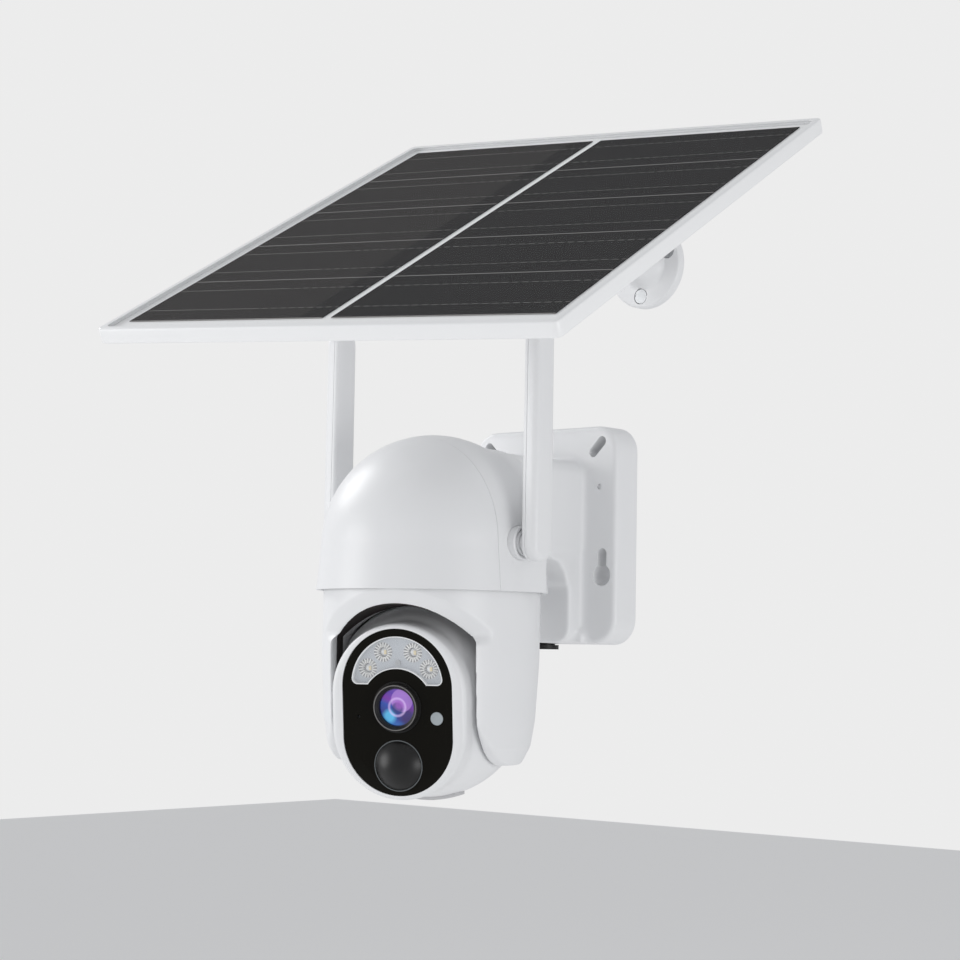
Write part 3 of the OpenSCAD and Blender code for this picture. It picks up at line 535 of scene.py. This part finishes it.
cup_grey = plain("reflector cup", (0.20, 0.20, 0.20), 0.3)
rib_white = plain("reflector rib", (0.92, 0.91, 0.88), 0.25)
cup_ribs = 18
cups = ribs = None
for x, z in lamp_places:
    cup = rod("cup", 4.85, face_y + 2.5, face_y + 7.4, "Y", (x, z), 72)
    cut(cup, rod("cup hollow", 4.5, face_y + 2, face_y + 6.6, "Y", (x, z), 72, 2.0))
    for step in range(cup_ribs):
        rib = slab("rib", (-0.27, face_y + 2.3, 2.5), (0.27, face_y + 5.4, 4.88))
        turn = Matrix.Rotation(step * math.tau / cup_ribs, 4, "Y")
        rib.data.transform(Matrix.Translation((x, 0, z)) @ turn)
        ribs = join(ribs, rib) if ribs else rib
    cups = join(cups, cup) if cups else cup
cups.name, ribs.name = "lamp_cups", "lamp_ribs"
dress(set_in_place(cups, at_head), cup_grey, "head", ["lamp_reflectors"], 30)
dress(set_in_place(ribs, at_head), rib_white, "head", (), 30)

lamp_white = plain("lamp dome", (0.82, 0.83, 0.85), 0.12, coat=0.5)
lamp_yellow = plain("lamp die", (0.86, 0.70, 0.36), 0.35)
domes = dies = None
for x, z in lamp_places:
    dome = ball("dome", 2.1, (x, face_y + 5.0, z), 32)
    domes = join(domes, dome) if domes else dome
    die = slab("die", (x + 0.3, face_y + 2.9, z - 1.1), (x + 1.5, face_y + 3.9, z + 1.0), "Y", 0.3, 3)
    dies = join(dies, die) if dies else die
domes.name, dies.name = "lamp_domes", "lamp_dies"
dress(set_in_place(domes, at_head), lamp_white, "head", (), 60)
dress(set_in_place(dies, at_head), lamp_yellow, "head", (), 30)
tray_screw = rod("lamp_tray_screw", 1.45, face_y + 2.0, face_y + 4, "Y", (0, 22.8), 32)
cut(tray_screw, slab("slot", (-1.5, face_y + 1.9, 22.6), (1.5, face_y + 2.3, 23.0)))
steel = plain("steel", (0.45, 0.46, 0.47), 0.32, metallic=1.0)
dress(set_in_place(tray_screw, at_head), steel, "head", (), 30)

# ---------------------------------------------------------------------------
# Camera lens: a stepped black barrel with fine rings, and glass painted with its reflections, violet above and blue
# below, with a painted highlight at upper right and a faint painted glow; a dark centre on the glass stands for the
# iris.
black_plastic = grained(plain("black plastic", (0.010, 0.0095, 0.009), 0.42, specular=0.3), 3200, 0.15)
barrel = rod("lens_ring", 12.8, face_y - 0.5, face_y + 6, "Y", (0, lens_z), 128)
pick(barrel, "FACE", lambda f: f.normal.y < -0.99)
bpy.ops.mesh.inset(thickness=0.7)
ring_steps = ((0.35, -2.2), (0.35, -0.5), (0.7, 0.0), (0.2, 0.5),
              (0.5, 0.3), (0.2, 0.5), (0.4, 0.2), (0.3, 7.0))
for width, depth in ring_steps:
    bpy.ops.mesh.inset(thickness=width)
    if depth:
        bpy.ops.transform.translate(value=(0, depth, 0))
edit_done()
join(barrel, rod("barrel rear", 9.6, face_y + 5, face_y + 22, "Y", (0, lens_z), 64))
dress(set_in_place(barrel, at_head), black_plastic, "head", ["lens_barrel"], 30)

lens_reflection_paint = bpy.data.materials.new("glass with painted reflections")
lens_reflection_paint.use_nodes = True
nodes, links = lens_reflection_paint.node_tree.nodes, lens_reflection_paint.node_tree.links
skin = nodes["Principled BSDF"]
spot = nodes.new("ShaderNodeUVMap")
spot.uv_map = "UVMap"
split = nodes.new("ShaderNodeSeparateXYZ")
links.new(spot.outputs["UV"], split.inputs["Vector"])


def worked(kind, first, second, tree=None):
    """A sum on two values, each a number or another node's output."""
    node = (tree or nodes).new("ShaderNodeMath")
    node.operation = kind
    for socket, value in zip(node.inputs, (first, second)):
        if isinstance(value, (int, float)):
            socket.default_value = value
        else:
            (node.id_data.links).new(value, socket)
    return node.outputs["Value"]


across, up = split.outputs["X"], split.outputs["Y"]
slant = worked("ADD", worked("MULTIPLY", across, 0.35), worked("MULTIPLY", up, 0.85))
# The ground colour is painted reflection of the coating, slanting from blue below to violet above.
reflection_ramp = nodes.new("ShaderNodeValToRGB")
reflection_ramp.color_ramp.elements[0].position = 0.0
reflection_ramp.color_ramp.elements[0].color = (0.02, 0.16, 0.55, 1)
reflection_ramp.color_ramp.elements[1].position = 1.0
reflection_ramp.color_ramp.elements[1].color = (0.20, 0.08, 0.50, 1)
for position, colour in (
        (0.22, (0.012, 0.03, 0.22, 1)), (0.45, (0.012, 0.06, 0.36, 1)),
        (0.60, (0.16, 0.02, 0.34, 1)), (0.80, (0.09, 0.03, 0.36, 1))):
    stop = reflection_ramp.color_ramp.elements.new(position)
    stop.color = colour
links.new(worked("ADD", worked("MULTIPLY", slant, 0.55), 0.5), reflection_ramp.inputs["Fac"])


def patch(x, y, size, soft):
    """1 inside a round patch of the glass, falling to 0 over its soft edge."""
    off_x, off_y = worked("SUBTRACT", across, x), worked("SUBTRACT", up, y)
    square = worked("ADD", worked("MULTIPLY", off_x, off_x), worked("MULTIPLY", off_y, off_y))
    away = worked("SQRT", square, 0)
    inward = worked("DIVIDE", worked("SUBTRACT", size, away), soft)
    return worked("MAXIMUM", worked("MINIMUM", inward, 1.0), 0.0)


def laid(ground, factor, strength, colour):
    """Lays a painted reflection colour over the glass by a factor."""
    layer = nodes.new("ShaderNodeMix")
    layer.data_type = "RGBA"
    links.new(worked("MULTIPLY", factor, strength), layer.inputs["Factor"])
    links.new(ground, layer.inputs["A"])
    layer.inputs["B"].default_value = (*colour, 1)
    return layer.outputs["Result"]


painted_reflection = reflection_ramp.outputs["Color"]
# Painted reflections: a dark patch at lower right, a cyan one at lower left, and a pale violet painted highlight at
# upper right.
painted_reflection = laid(painted_reflection, patch(0.55, -0.45, 0.55, 0.3), 0.8, (0.035, 0.008, 0.10))
painted_reflection = laid(painted_reflection, patch(-0.45, -0.50, 0.46, 0.25), 0.85, (0.09, 0.48, 0.78))
painted_reflection = laid(painted_reflection, patch(0.27, 0.37, 0.64, 0.05), 0.62, (0.42, 0.22, 0.62))
# A pale painted reflected ring round the middle, a dark centre where the iris shows with a violet patch on it, and
# a darker rim.
painted_ring_glint = worked("SUBTRACT", patch(0, 0, 0.56, 0.08), patch(0, 0, 0.46, 0.10))
painted_reflection = laid(painted_reflection, painted_ring_glint, 0.5, (0.70, 0.52, 0.88))
painted_reflection = laid(painted_reflection, patch(0, -0.06, 0.36, 0.10), 0.75, (0.015, 0.02, 0.13))
painted_reflection = laid(painted_reflection, patch(0.12, 0.12, 0.30, 0.14), 0.6, (0.30, 0.08, 0.46))
rim_band = worked("SUBTRACT", patch(0, 0, 2.0, 0.01), patch(0, 0, 1.0, 0.06))
painted_reflection = laid(painted_reflection, rim_band, 0.8, (0.012, 0.006, 0.05))
links.new(painted_reflection, skin.inputs["Base Color"])
skin.inputs["Roughness"].default_value = 0.12
skin.inputs["Coat Weight"].default_value = 1.0
skin.inputs["Coat Roughness"].default_value = 0.02
# Painted glow: the glass gives off its painted colours a little, though it is no lamp.
skin.inputs["Emission Strength"].default_value = 0.35
links.new(painted_reflection, skin.inputs["Emission Color"])

lens_trim = rod("lens_trim", 11.35, face_y - 3.35, face_y - 2.6, "Y", (0, lens_z), 128)
cut(lens_trim, rod("trim hole", 10.85, face_y - 5, face_y, "Y", (0, lens_z), 128))
trim_grey = plain("polished trim", (0.16, 0.155, 0.15), 0.25, coat=0.3)
dress(set_in_place(lens_trim, at_head), trim_grey, "head", (), 30)

glass_r = 9.3
bulge = 24.0
glass = ball("lens_dome", bulge, (0, face_y - 2.3 + bulge, lens_z), 256)
keep_inside(glass, rod("glass edge", glass_r, face_y, face_y + 6.2, "Y", (0, lens_z), 128))
chart = glass.data.uv_layers.get("UVMap") or glass.data.uv_layers.new(name="UVMap")
for corner in glass.data.loops:
    p = glass.data.vertices[corner.vertex_index].co
    chart.data[corner.index].uv = (p.x / glass_r, (p.z - lens_z) / glass_r)
dress(set_in_place(glass, at_head), lens_reflection_paint, "head", ["lens_glass"], 50)

# Motion lens: a black gloss dome over the heat sensor, in a thin polished ring.
motion_black = plain("motion lens", (0.003, 0.003, 0.003), 0.36, specular=0.42)
motion_r, motion_up = 12.2, 5.4
motion_ball = (motion_r ** 2 + motion_up ** 2) / (2 * motion_up)
motion = ball("motion_dome", motion_ball, (0, face_y - motion_up + motion_ball, motion_z), 160)
keep_inside(motion, rod("motion edge", motion_r, face_y - 12, face_y + 1.8, "Y", (0, motion_z), 128))
dress(set_in_place(motion, at_head), motion_black, "head", ["motion_lens"], 50)
ring_grey = plain("polished ring", (0.10, 0.11, 0.115), 0.2, coat=0.3)
ring = rod("motion_ring", 12.8, face_y - 0.25, face_y + 1.9, "Y", (0, motion_z), 128)
cut(ring, rod("ring hole", 12.3, face_y - 2, face_y + 4, "Y", (0, motion_z), 128))
dress(set_in_place(ring, at_head), ring_grey, "head", (), 30)

# Light sensor window: a small pale frosted disc with a chamfered edge.
frosted = plain("frosted window", (0.36, 0.40, 0.42), 0.35)
sensor = rod("light_window", 3.3, face_y - 0.1, face_y + 2.5, "Y", (20.8, -4.2), 64)
pick(sensor, "EDGE", lambda e: all(v.co.y < face_y for v in e.verts))
bpy.ops.mesh.bevel(offset=0.35, segments=3, affect="EDGES")
edit_done()
dress(set_in_place(sensor, at_head), frosted, "head", ["light_sensor"], 30)

# ---------------------------------------------------------------------------
# Antennas: flat white rods with full round ends and soft edges, in two halves
# with a parting line, each on a stepped collar that stands out of the hood.
# ---------------------------------------------------------------------------
antenna_z = -9.3
antenna_in, antenna_t = 64.65, 9.5
lid_t = 3.0


def antenna_half(name, inner, outer, rounded_inner, rounded_outer):
    """One moulded half, drawn for the right side with its broad face along X."""
    piece = stadium(name, 7.7, -9.5, 117.3, -outer, -inner, 64)
    pick(piece, "VERT", lambda v: v.co.z > 60)
    bpy.ops.transform.resize(value=(0.94, 1, 1), center_override=(0, 0, 0))
    edit_done()
    for y, radius in ((-outer, rounded_outer), (-inner, rounded_inner)):
        pick(piece, "EDGE", lambda e: all(abs(v.co.y - y) < 1e-3 for v in e.verts))
        bpy.ops.mesh.bevel(offset=radius, segments=6, affect="EDGES", clamp_overlap=False)
        edit_done()
    piece.data.transform(Matrix.Translation((0, -reach, antenna_z)) @ Matrix.Rotation(math.pi / 2, 4, "Z"))
    return piece


for side, word in ((-1, "left"), (1, "right")):
    turn = Matrix.Diagonal((side, 1, 1, 1))
    case = antenna_half("antenna_case_" + word, antenna_in + lid_t, antenna_in + antenna_t, 0.25, 3.2)
    lid = antenna_half("antenna_lid_" + word, antenna_in, antenna_in + lid_t - 0.1, 2.2, 0.25)
    join(lid, rod("pin", 5, 51.6, antenna_in + 1, "X", (-reach, antenna_z), 48))
    for piece, node in ((case, "antenna_" + word), (lid, "antenna_" + word + "_lid")):
        piece.data.transform(turn)
        if side < 0:
            piece.data.flip_normals()
        dress(set_in_place(piece), white_plastic, word + "_antenna", [node], 40)

collar_steps = ((0.5, 0.4), (0.7, 0.0), (0.25, -0.9), (0.5, 0.0), (0.3, 1.5),
                (0.9, 0.0), (0.2, -0.5), (0.4, 0.0), (0.3, 1.2))
collars = None
for side in (-1, 1):
    collar = rod("collar", 8.6, 53, 61.2, "X", (-reach, antenna_z), 96)
    pick(collar, "FACE", lambda f: f.normal.x > 0.99)
    for width, rise in collar_steps:
        bpy.ops.mesh.inset(thickness=width)
        if rise:
            bpy.ops.transform.translate(value=(rise, 0, 0))
    edit_done()
    cut(collar, rod("collar bore", 5.05, 50, 70, "X", (-reach, antenna_z), 64))
    if side < 0:
        collar.data.transform(Matrix.Diagonal((-1, 1, 1, 1)))
        collar.data.flip_normals()
    collars = join(collars, collar) if collars else collar
collars.name = "antenna_rings"
dress(set_in_place(collars), white_plastic, "bracket", ["antenna_collars"], 30)

# ---------------------------------------------------------------------------
# Solar bracket: a round white wall base with a flared neck and countersunk
# screws, a fork that swivels in it, and a tongue that carries the panel.
# ---------------------------------------------------------------------------
solar_x, solar_out, solar_z = 56.6, 77.8, 147.3
swivel, slope, spin = 7.4, 28.5, 8.9
base = rod("solar_wall_base", 23.4, -4.0, 0, "Y", (0, 0), 128)
pick(base, "FACE", lambda f: f.normal.y < -0.99)
for width, rise in ((0.35, -0.6), (0.65, -0.4), (8.2, 0.35)):
    bpy.ops.mesh.inset(thickness=width)
    bpy.ops.transform.translate(value=(0, rise, 0))
for step in range(8):
    bend = math.radians(11.25 * (step + 1))
    last = math.radians(11.25 * step)
    rise = -7 * (math.cos(last) - math.cos(bend)) - 0.3
    bpy.ops.mesh.extrude_region_move(TRANSFORM_OT_translate={"value": (0, rise, 0)})
    narrow = 14.2 - 3.7 * math.sin(bend)
    before = 14.2 - 3.7 * math.sin(last)
    bpy.ops.transform.resize(value=(narrow / before, 1, narrow / before), center_override=(0, 0, 0))
bpy.ops.mesh.extrude_region_move(TRANSFORM_OT_translate={"value": (0, -25.2, 0)})
edit_done()
cut(base, rod("swivel bore", 6, -60, -18, "Y", (0, 0), 64))
for number in range(3):
    turn = math.radians(120 * number + 7)
    x, z = -17 * math.sin(turn), -17 * math.cos(turn)
    cut(base, rod("screw hole", 2.2, -20, 1, "Y", (x, z), 32))
    cut(base, rod("screw seat", 4.3, -20, -3.2, "Y", (x, z), 48))
at_base = Matrix.Translation((solar_x, 0, solar_z))
dress(set_in_place(base, at_base), white_plastic, "bracket", ["solar_base"], 35)

at_pivot = Matrix.Translation((solar_x, -solar_out, solar_z)) @ Matrix.Rotation(math.radians(swivel), 4, "Y")
fork_piece = rod("swivel_fork_body", 10.5, solar_out - 46, solar_out - 40.4, "Y", (0, 0), 96)
ears = slab("ears", (-9.8, -0.1, -9), (9.8, solar_out - 45, 9))
join(ears, rod("ear ends", 9, -9.8, 9.8, "X", (0, 0), 64))
pick(ears, "EDGE", lambda e: e.is_manifold and e.calc_face_angle() > 1.2)
bpy.ops.mesh.bevel(offset=1.1, segments=4, affect="EDGES", clamp_overlap=False)
edit_done()
join(fork_piece, ears, rod("fork spindle", 5.95, solar_out - 41, solar_out - 18.5, "Y", (0, 0), 48))
cut(fork_piece, slab("tongue slot", (-5.3, -20, -20), (5.3, 10, 20)),
    rod("bolt hole", 2.55, -30, 30, "X", (0, 0), 32))
dress(set_in_place(fork_piece, at_pivot), white_plastic, "solar_swivel", ["swivel_fork"], 35)

at_tongue = at_pivot @ Matrix.Rotation(math.radians(slope), 4, "X")
tongue = rod("tilt_tongue_body", 9, -4.9, 4.9, "X", (0, 0), 64)
join(tongue, slab("stem", (-4.9, -7, 0), (4.9, 7, 21)), rod("tongue flange", 14, 20, 23.6, "Z", sides=96),
     rod("stud", 4, 10, 31.2, "Z", sides=48))
cut(tongue, rod("bolt hole", 2.55, -30, 30, "X", (0, 0), 32))
dress(set_in_place(tongue, at_tongue), white_plastic, "solar_tongue", ["tilt_tongue"], 35)

grey_plastic = grained(plain("grey plastic", (0.55, 0.56, 0.57), 0.45), 2600, 0.12)
knob = rod("tilt_knob", 7.2, -16.8, -9.9, "X", (0, 0), 96)
for number in range(12):
    turn = number * math.tau / 12
    cut(knob, rod("grip", 1.2, -18, -9, "X", (7.9 * math.cos(turn), 7.9 * math.sin(turn)), 24))
cut(knob, rod("knob bore", 2.55, -20, 0, "X", (0, 0), 32))
pick(knob, "EDGE", lambda e: (e.is_manifold and e.calc_face_angle() > 1.2
                              and abs(e.verts[0].co.x - e.verts[1].co.x) < 1e-4))
bpy.ops.mesh.bevel(offset=0.5, segments=3, affect="EDGES", clamp_overlap=True)
edit_done()
dress(set_in_place(knob, at_pivot), grey_plastic, "solar_swivel", ["thumb_nut"], 35)

# ---------------------------------------------------------------------------
# Solar panel: white-painted frame with softened edges and round corners, two
# blocks of dark cells with fine silver lines under glass, and a white back.
# ---------------------------------------------------------------------------
panel_w, panel_l, panel_t = 251.0, 283.0, 7.6
panel_back, panel_up = 66.8, 32.0
border, front_border, divider = 9.0, 14.0, 5.0
at_panel = at_tongue @ Matrix.Rotation(math.radians(spin), 4, "Z")
white_paint = grained(plain("white paint", (0.87, 0.875, 0.88), 0.3), 2200, 0.06)
white_sheet = plain("white sheet", (0.94, 0.94, 0.94), 0.4)

panel_low = (-panel_w / 2, panel_back - panel_l)
panel_high = (panel_w / 2, panel_back)


def panel_slab(name, inset, low, high, radius):
    return slab(name, (panel_low[0] + inset, panel_low[1] + inset, panel_up + low),
                (panel_high[0] - inset, panel_high[1] - inset, panel_up + high), "Z", radius, 8)


edge_frame = panel_slab("panel_edge_frame", 0, 0, panel_t, 3.5)
pick(edge_frame, "EDGE", lambda e: e.is_manifold and e.calc_face_angle() > 1.2)
bpy.ops.mesh.bevel(offset=0.9, segments=4, affect="EDGES", clamp_overlap=False)
edit_done()
cut(edge_frame, panel_slab("frame groove", 2.2, 1.2, 7.2, 4), panel_slab("frame window", 3.2, 3, 9, 3.5),
    panel_slab("frame back", 12, -1, 3, 3))
dress(set_in_place(edge_frame, at_panel), white_paint, "solar_panel", ["panel_frame"], 35)

cell_sheet = bpy.data.materials.new("dark cells")
cell_sheet.use_nodes = True
nodes, links = cell_sheet.node_tree.nodes, cell_sheet.node_tree.links
skin = nodes["Principled BSDF"]
spot = nodes.new("ShaderNodeUVMap")
spot.uv_map = "UVMap"
split = nodes.new("ShaderNodeSeparateXYZ")
links.new(spot.outputs["UV"], split.inputs["Vector"])
along, down = split.outputs["X"], split.outputs["Y"]


def stripe(value, pitch, width, shift=0.0):
    """1 on a line of that width in every pitch, and 0 between; all in metres."""
    place = worked("MODULO", worked("ADD", value, 10 * pitch + shift), pitch)
    return worked("LESS_THAN", place, width)


strip = (panel_l - border - front_border) / 5 / 1000
fingers = stripe(along, 0.00165, 0.0004)
gaps = stripe(down, strip, 0.0007, 0.00035)
dashes = stripe(along, 0.0052, 0.0034)
bar_pair = worked("MAXIMUM", stripe(down, strip, 0.0005, -strip / 4), stripe(down, strip, 0.0005, -strip * 3 / 4))
bars = worked("MULTIPLY", dashes, bar_pair)
ground = nodes.new("ShaderNodeMix")
ground.data_type = "RGBA"
links.new(worked("MULTIPLY", fingers, 0.75), ground.inputs["Factor"])
ground.inputs["A"].default_value = (0.009, 0.007, 0.006, 1)
ground.inputs["B"].default_value = (0.034, 0.029, 0.026, 1)
lined = nodes.new("ShaderNodeMix")
lined.data_type = "RGBA"
silver = worked("MAXIMUM", worked("MULTIPLY", gaps, 0.8), worked("MULTIPLY", bars, 0.55))
links.new(silver, lined.inputs["Factor"])
links.new(ground.outputs["Result"], lined.inputs["A"])
lined.inputs["B"].default_value = (0.36, 0.35, 0.34, 1)
links.new(lined.outputs["Result"], skin.inputs["Base Color"])
skin.inputs["Roughness"].default_value = 0.7
skin.inputs["Specular IOR Level"].default_value = 0.02

# The cells stop further in at the front, where the frame's lip would hide a
# border as narrow as the one on the other sides.
cells_y, cells_end = panel_low[1] + front_border, panel_high[1] - border
cells = None
for low_x, high_x in ((panel_low[0] + border, -divider / 2 - 0.9), (divider / 2 - 0.9, panel_high[0] - border)):
    block = slab("cell block", (low_x, cells_y, panel_up + 5.6), (high_x, cells_end, panel_up + 6.0))
    cells = join(cells, block) if cells else block
cells.name = "solar_cells"
chart = cells.data.uv_layers.get("UVMap") or cells.data.uv_layers.new(name="UVMap")
for corner in cells.data.loops:
    p = cells.data.vertices[corner.vertex_index].co
    chart.data[corner.index].uv = (p.x / 1000, (p.y - panel_low[1] - front_border) / 1000)
dress(set_in_place(cells, at_panel), cell_sheet, "solar_panel", ["panel_cells"], 30)

cover_glass = bpy.data.materials.new("cover glass")
cover_glass.use_nodes = True
skin = cover_glass.node_tree.nodes["Principled BSDF"]
skin.inputs["Base Color"].default_value = (0.9, 0.95, 1, 1)
skin.inputs["Roughness"].default_value = 0.3
skin.inputs["Specular IOR Level"].default_value = 0.02
skin.inputs["Alpha"].default_value = 0.02
pane = panel_slab("panel_cover", 2.3, 6.1, 7.0, 3.8)
dress(set_in_place(pane, at_panel), cover_glass, "solar_panel", ["panel_glass"], 30)

# ---------------------------------------------------------------------------
# The pieces inside and behind keep their working shapes and get their finish:
# motors, gears, boards, cells, bearings, screws and the cover on the plate.
# ---------------------------------------------------------------------------
cheek_white = white_plastic
gear_cream = plain("gear nylon", (0.72, 0.69, 0.6), 0.5)
board_green = plain("board green", (0.02, 0.16, 0.07), 0.4, coat=0.4)
cell_blue = plain("cell wrap", (0.04, 0.16, 0.42), 0.3)
board_white = plain("board white", (0.72, 0.72, 0.7), 0.4)
finishes = {
    grey_plastic: ["back_cover", "cap_floor", "panel_plate", "reset_button"],
    cheek_white: ["yoke_cheeks"],
    gear_cream: ["pan_pinion", "pan_gear", "tilt_pinion", "tilt_gear", "tilt_bushes"],
    board_green: ["charge_board", "main_board", "image_board"],
    board_white: ["lamp_board"],
    cell_blue: ["battery_cells"],
    white_sheet: ["panel_back"],
    black_plastic: ["battery_holder", "inlet_gland", "speaker", "card_socket", "junction_box"],
    steel: ["cover_screws", "pan_bearing", "pan_motor", "radio_module", "pan_retainer", "tilt_motor", "head_screws",
            "head_trunnions", "motion_sensor", "microphone", "solar_base_screws", "tilt_bolt", "spin_nut"],
}
for material, nodes_done in finishes.items():
    for node in nodes_done:
        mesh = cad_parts[node].data
        mesh.materials.clear()
        mesh.materials.append(material)

# ---------------------------------------------------------------------------
# Studio: a pale floor well below, a bright even surround, a large soft light
# high on the left in front, a weaker one on the right, and the camera.
# ---------------------------------------------------------------------------
only_none()
bpy.ops.mesh.primitive_plane_add(size=12, location=(0, 0, -0.75))
floor = bpy.context.object
floor.name = "floor"
floor.data.materials.append(plain("pale floor", (0.9, 0.9, 0.9), 0.9))

world = bpy.data.worlds.new("studio")
bpy.context.scene.world = world
world.use_nodes = True
surround = world.node_tree.nodes["Background"]
surround.inputs["Color"].default_value = (0.97, 0.98, 1, 1)
surround.inputs["Strength"].default_value = 0.62
backdrop = world.node_tree.nodes.new("ShaderNodeBackground")
backdrop.inputs["Strength"].default_value = 1.05
seen = world.node_tree.nodes.new("ShaderNodeLightPath")
either = world.node_tree.nodes.new("ShaderNodeMixShader")
world.node_tree.links.new(seen.outputs["Is Camera Ray"], either.inputs["Fac"])
world.node_tree.links.new(surround.outputs["Background"], either.inputs[1])
world.node_tree.links.new(backdrop.outputs["Background"], either.inputs[2])
world.node_tree.links.new(either.outputs["Shader"], world.node_tree.nodes["World Output"].inputs["Surface"])
bpy.context.scene.view_settings.view_transform = "Standard"


def soft_light(name, place, aim, size, power, shine=1.0):
    bpy.ops.object.light_add(type="AREA", location=place)
    light = bpy.context.object
    light.name = name
    light.data.shape = "DISK"
    light.data.size = size
    light.data.energy = power
    light.data.specular_factor = shine
    light.rotation_euler = (Vector(aim) - Vector(place)).to_track_quat("-Z", "Y").to_euler()


soft_light("key", (-1.07, -1.30, 0.0), (0, -0.1, 0), 1.0, 8.5)
soft_light("left", (-1.5, -0.3, 1.0), (0, -0.1, 0), 0.8, 9)
soft_light("right", (1.7, -0.35, -0.25), (0, -0.1, 0), 0.8, 6.5, 0.1)

camera_turn, camera_rise, camera_roll = math.radians(40.47), math.radians(-4.52), math.radians(1.01)
toward = Vector((math.sin(camera_turn) * math.cos(camera_rise), -math.cos(camera_turn) * math.cos(camera_rise),
                 math.sin(camera_rise)))
right = Vector((math.cos(camera_turn), math.sin(camera_turn), 0))
above = toward.cross(right)
aim = Vector((0, -0.060, 0.02795)) - right * 0.00839
rolled_right = right * math.cos(camera_roll) + above * math.sin(camera_roll)
rolled_above = above * math.cos(camera_roll) - right * math.sin(camera_roll)
bpy.ops.object.camera_add()
camera = bpy.context.object
camera.data.sensor_width = 36
camera.data.lens = 79.71
camera.data.clip_start, camera.data.clip_end = 0.05, 30
pose = Matrix((rolled_right, rolled_above, toward)).transposed().to_4x4()
pose.translation = aim + toward * 1.14442
camera.matrix_world = pose
bpy.context.scene.camera = camera
